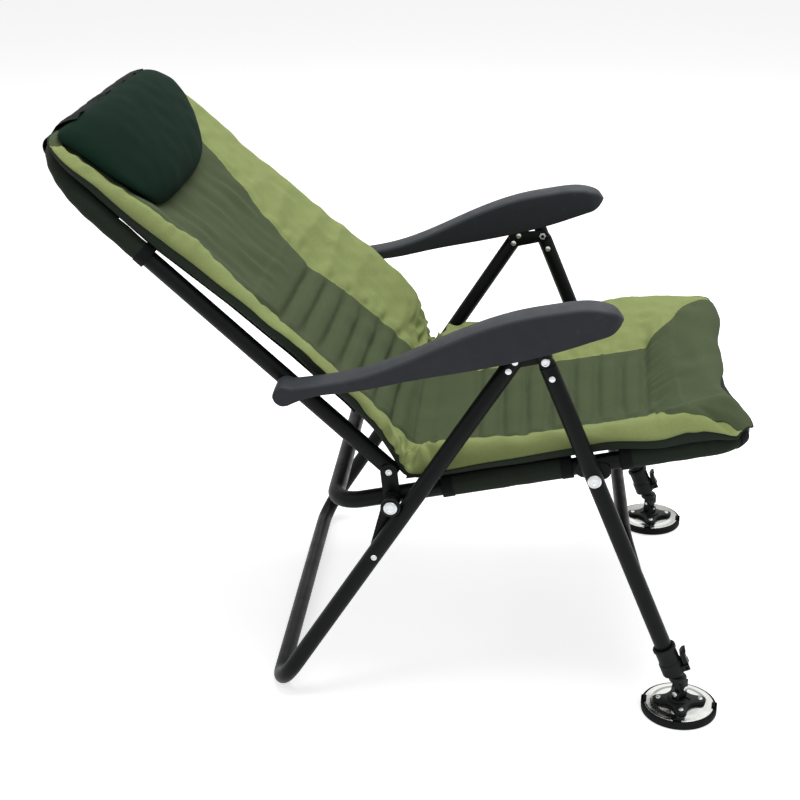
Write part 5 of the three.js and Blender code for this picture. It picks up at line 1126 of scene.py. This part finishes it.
def seat_sling():
    """Sleeves round the side rails with the cloth between them, the front sleeve, and the corners' sleeves."""
    sling, r = Sling(SEAT, "seat", "seat_tube"), SLEEVE_R
    for u0, u1 in ((75, 262), (333, 455)):
        rows = []
        for u in np.linspace(u0, u1, max(12, int((u1 - u0) / 5))):
            half = []
            for a in np.radians(np.linspace(-250, 90, 30)):
                q = r + 0.35 * math.sin(u / 7.0 + 2 * a) * (0.5 - 0.5 * math.cos(u / 19.0))
                half.append((u, TUBE_Y + q * math.cos(a), q * math.sin(a)))
            flat = [(u, y, r - seat_sag(u, y)) for y in np.linspace(TUBE_Y - 4, 4 - TUBE_Y, 60)]
            rows.append(half + flat + [(x, -y, z) for x, y, z in half][::-1])
        sling.add(rows, 1.4)
    sling.add([[(20 + (474 - float(rail_bow(y))) * t, y, r - 0.5 - seat_sag(20 + 474 * t, y))
                for y in np.linspace(-252, 252, 72)] for t in np.linspace(0, 1, 70)], 1.0)
    sling.add([[(FRONT_U - float(rail_bow(y)) + (r + 0.3 * math.sin(y / 9.0)) * math.cos(a), y,
                 (r + 0.3 * math.sin(y / 9.0 + a)) * math.sin(a)) for y in np.linspace(-222, 222, 90)]
               for a in np.radians(np.linspace(90, -215, 36))], 1.4)
    for u, direction in ((75, 1), (262, -1), (333, 1)):
        for side in (1, -1):
            sling.hem([[(v, side * (TUBE_Y + HEM_R * math.cos(a)), HEM_R * math.sin(a))
                        for a in np.radians(np.linspace(-250, 100, 34))]
                       for v in np.linspace(u - direction * 1.5, u + direction * 15, 6)])
    for side in (1, -1):
        bend = [(448, side * TUBE_Y, 0.0)] + [(462 + 45 * math.sin(a), side * (230 + 45 * math.cos(a)), 0.0)
                                              for a in np.linspace(0, math.radians(62), 16)]
        sling.add(rings_along(bend, r, side), 1.4)
        sling.hem(rings_along(bend[-6:], HEM_R, side))
    sling.finish("seat_sling", 0.72, 0.016, "seat_sling")


def back_sling():
    """The cloth behind the mattress, the sleeve over the top of the bent tube, and the cloth inside that."""
    sling, r = Sling(BACK, "backrest", "backrest_tube"), SLEEVE_R
    sling.add([[(float(sling_rear(u)) - 3.2 - back_sag(u, y), y, u) for y in np.linspace(-264, 264, 72)]
               for u in np.linspace(92, 520, 66)], 1.2)
    corners = [(0, -TUBE_Y, 455), (0, -TUBE_Y, BACK_LENGTH), (0, TUBE_Y, BACK_LENGTH), (0, TUBE_Y, 455)]
    line = spread(bent_path(corners, BACK_BEND, 5), 7)
    rows = []
    for i, (p, t) in enumerate(zip(line, tangents(line))):
        d = np.cross(t, X_AXIS)
        # small creases across the sleeve
        rows.append([p + (r + 0.35 * math.sin(i * 1.1 + w)) * (math.cos(w) * X_AXIS + math.sin(w) * d)
                     for w in np.radians(np.linspace(-20, 340, 40))])
    sling.add(rows, 1.4)
    rows = []
    for u in np.linspace(520, BACK_LENGTH, 24):
        h = TUBE_Y - BACK_BEND * (1 - math.sqrt(max(0, 1 - (max(0.0, u - BACK_LENGTH + BACK_BEND) / BACK_BEND) ** 2)))
        rows.append([(13.6 - back_sag(u, y), y, u) for y in np.linspace(-h, h, 72)])
    sling.add(rows, 1.2)
    for side in (1, -1):
        sling.hem([[(HEM_R * math.cos(a), side * TUBE_Y + HEM_R * math.sin(a), u)
                    for a in np.radians(np.linspace(-175, 175, 38))] for u in np.linspace(453.5, 470, 6)], 1.0)
    sling.finish("backrest_sling", 0.62, 0.0165, "backrest_sling")


# Stage, light and camera


def stage():
    """A pale floor and surroundings that show white but light the chair little, and four softboxes."""
    m = Surface("floor")
    m.tree.nodes.remove(m.bsdf)
    matt = m.add("BsdfDiffuse", ("Color", (0.88, 0.88, 0.88, 1)))
    glow = m.add("Emission", ("Color", (1, 1, 1, 1)), ("Strength", m.calc("MULTIPLY", m.seen_directly(), 0.66)))
    both = m.add("AddShader", (0, matt.outputs[0]), (1, glow.outputs[0]))
    m.feed(m.tree.nodes["Material Output"], ("Surface", both.outputs[0]))
    size, z = 30, -0.0005
    floor = mesh_object([(x * size, y * size, z) for x, y in ((-1, -1), (1, -1), (1, 1), (-1, 1))], [(0, 1, 2, 3)],
                        [m.mat], scale=1)
    named(floor, "floor")
    world = bpy.data.worlds.new("studio")
    bpy.context.scene.world = world
    world.use_nodes = True
    w = Nodes(world.node_tree)
    strength = w.add("MapRange", ("Value", w.seen_directly()), ("To Min", 0.26), ("To Max", 1.0)).outputs[0]
    w.feed(w.tree.nodes["Background"], ("Color", (1, 1, 1, 1)), ("Strength", strength))
    for place, size, power, aim_z in (((0.3, 0.1, 3.4), 2.4, 100, 0.4), ((1.6, -2.6, 3.0), 2.0, 14, 0.4),
                                      ((-2.4, -1.2, 2.6), 2.0, 16, 0.5), ((0.6, 2.8, 2.8), 2.4, 24, 0.4)):
        light = bpy.data.lights.new("softbox", "AREA")
        light.size, light.energy = size, power
        o = bpy.data.objects.new("softbox", light)
        o.location = place
        o.rotation_euler = (Vector((0, 0, aim_z)) - Vector(place)).to_track_quat("-Z", "Y").to_euler()
        bpy.context.scene.collection.objects.link(o)


def camera():
    cam = bpy.data.cameras.new("camera")
    obj = bpy.data.objects.new("camera", cam)
    bpy.context.scene.collection.objects.link(obj)
    bpy.context.scene.camera = obj
    cam.lens, cam.sensor_width = 67.5, 36
    yaw, pitch, roll = (math.radians(a) for a in (-4.967, 22.54, -0.827))
    fwd = Vector((math.sin(yaw) * math.cos(pitch), math.cos(yaw) * math.cos(pitch), -math.sin(pitch)))
    right = Vector((math.cos(yaw), -math.sin(yaw), 0))
    up = right.cross(fwd)
    r = right * math.cos(roll) + up * math.sin(roll)
    u = -right * math.sin(roll) + up * math.cos(roll)
    m = Matrix((r, u, -fwd)).transposed().to_4x4()
    m.translation = Vector(((PIVOT_X + 182.3) * MM, -2.232, 1.295))
    obj.matrix_world = m


camera()
stage()
tubes()
for _name, _side in SIDES:
    hardware(_name, _side)
for _name, _side in SIDES:
    armrest(_name, _side)
    foot(_name, _side)
    collar(_name, _side)
    # the notched racks are shown as they are in the CAD
    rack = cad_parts[f"armrest_rack_{_name}"]
    rack.data.materials.clear()
    rack.data.materials.append(ZINC)
seat_sling()
back_sling()
surface = mattress_surface()
cushion = mattress(surface)
pillow(surface)
band()

bpy.context.scene.view_settings.view_transform = "Standard"
bpy.context.view_layer.update()
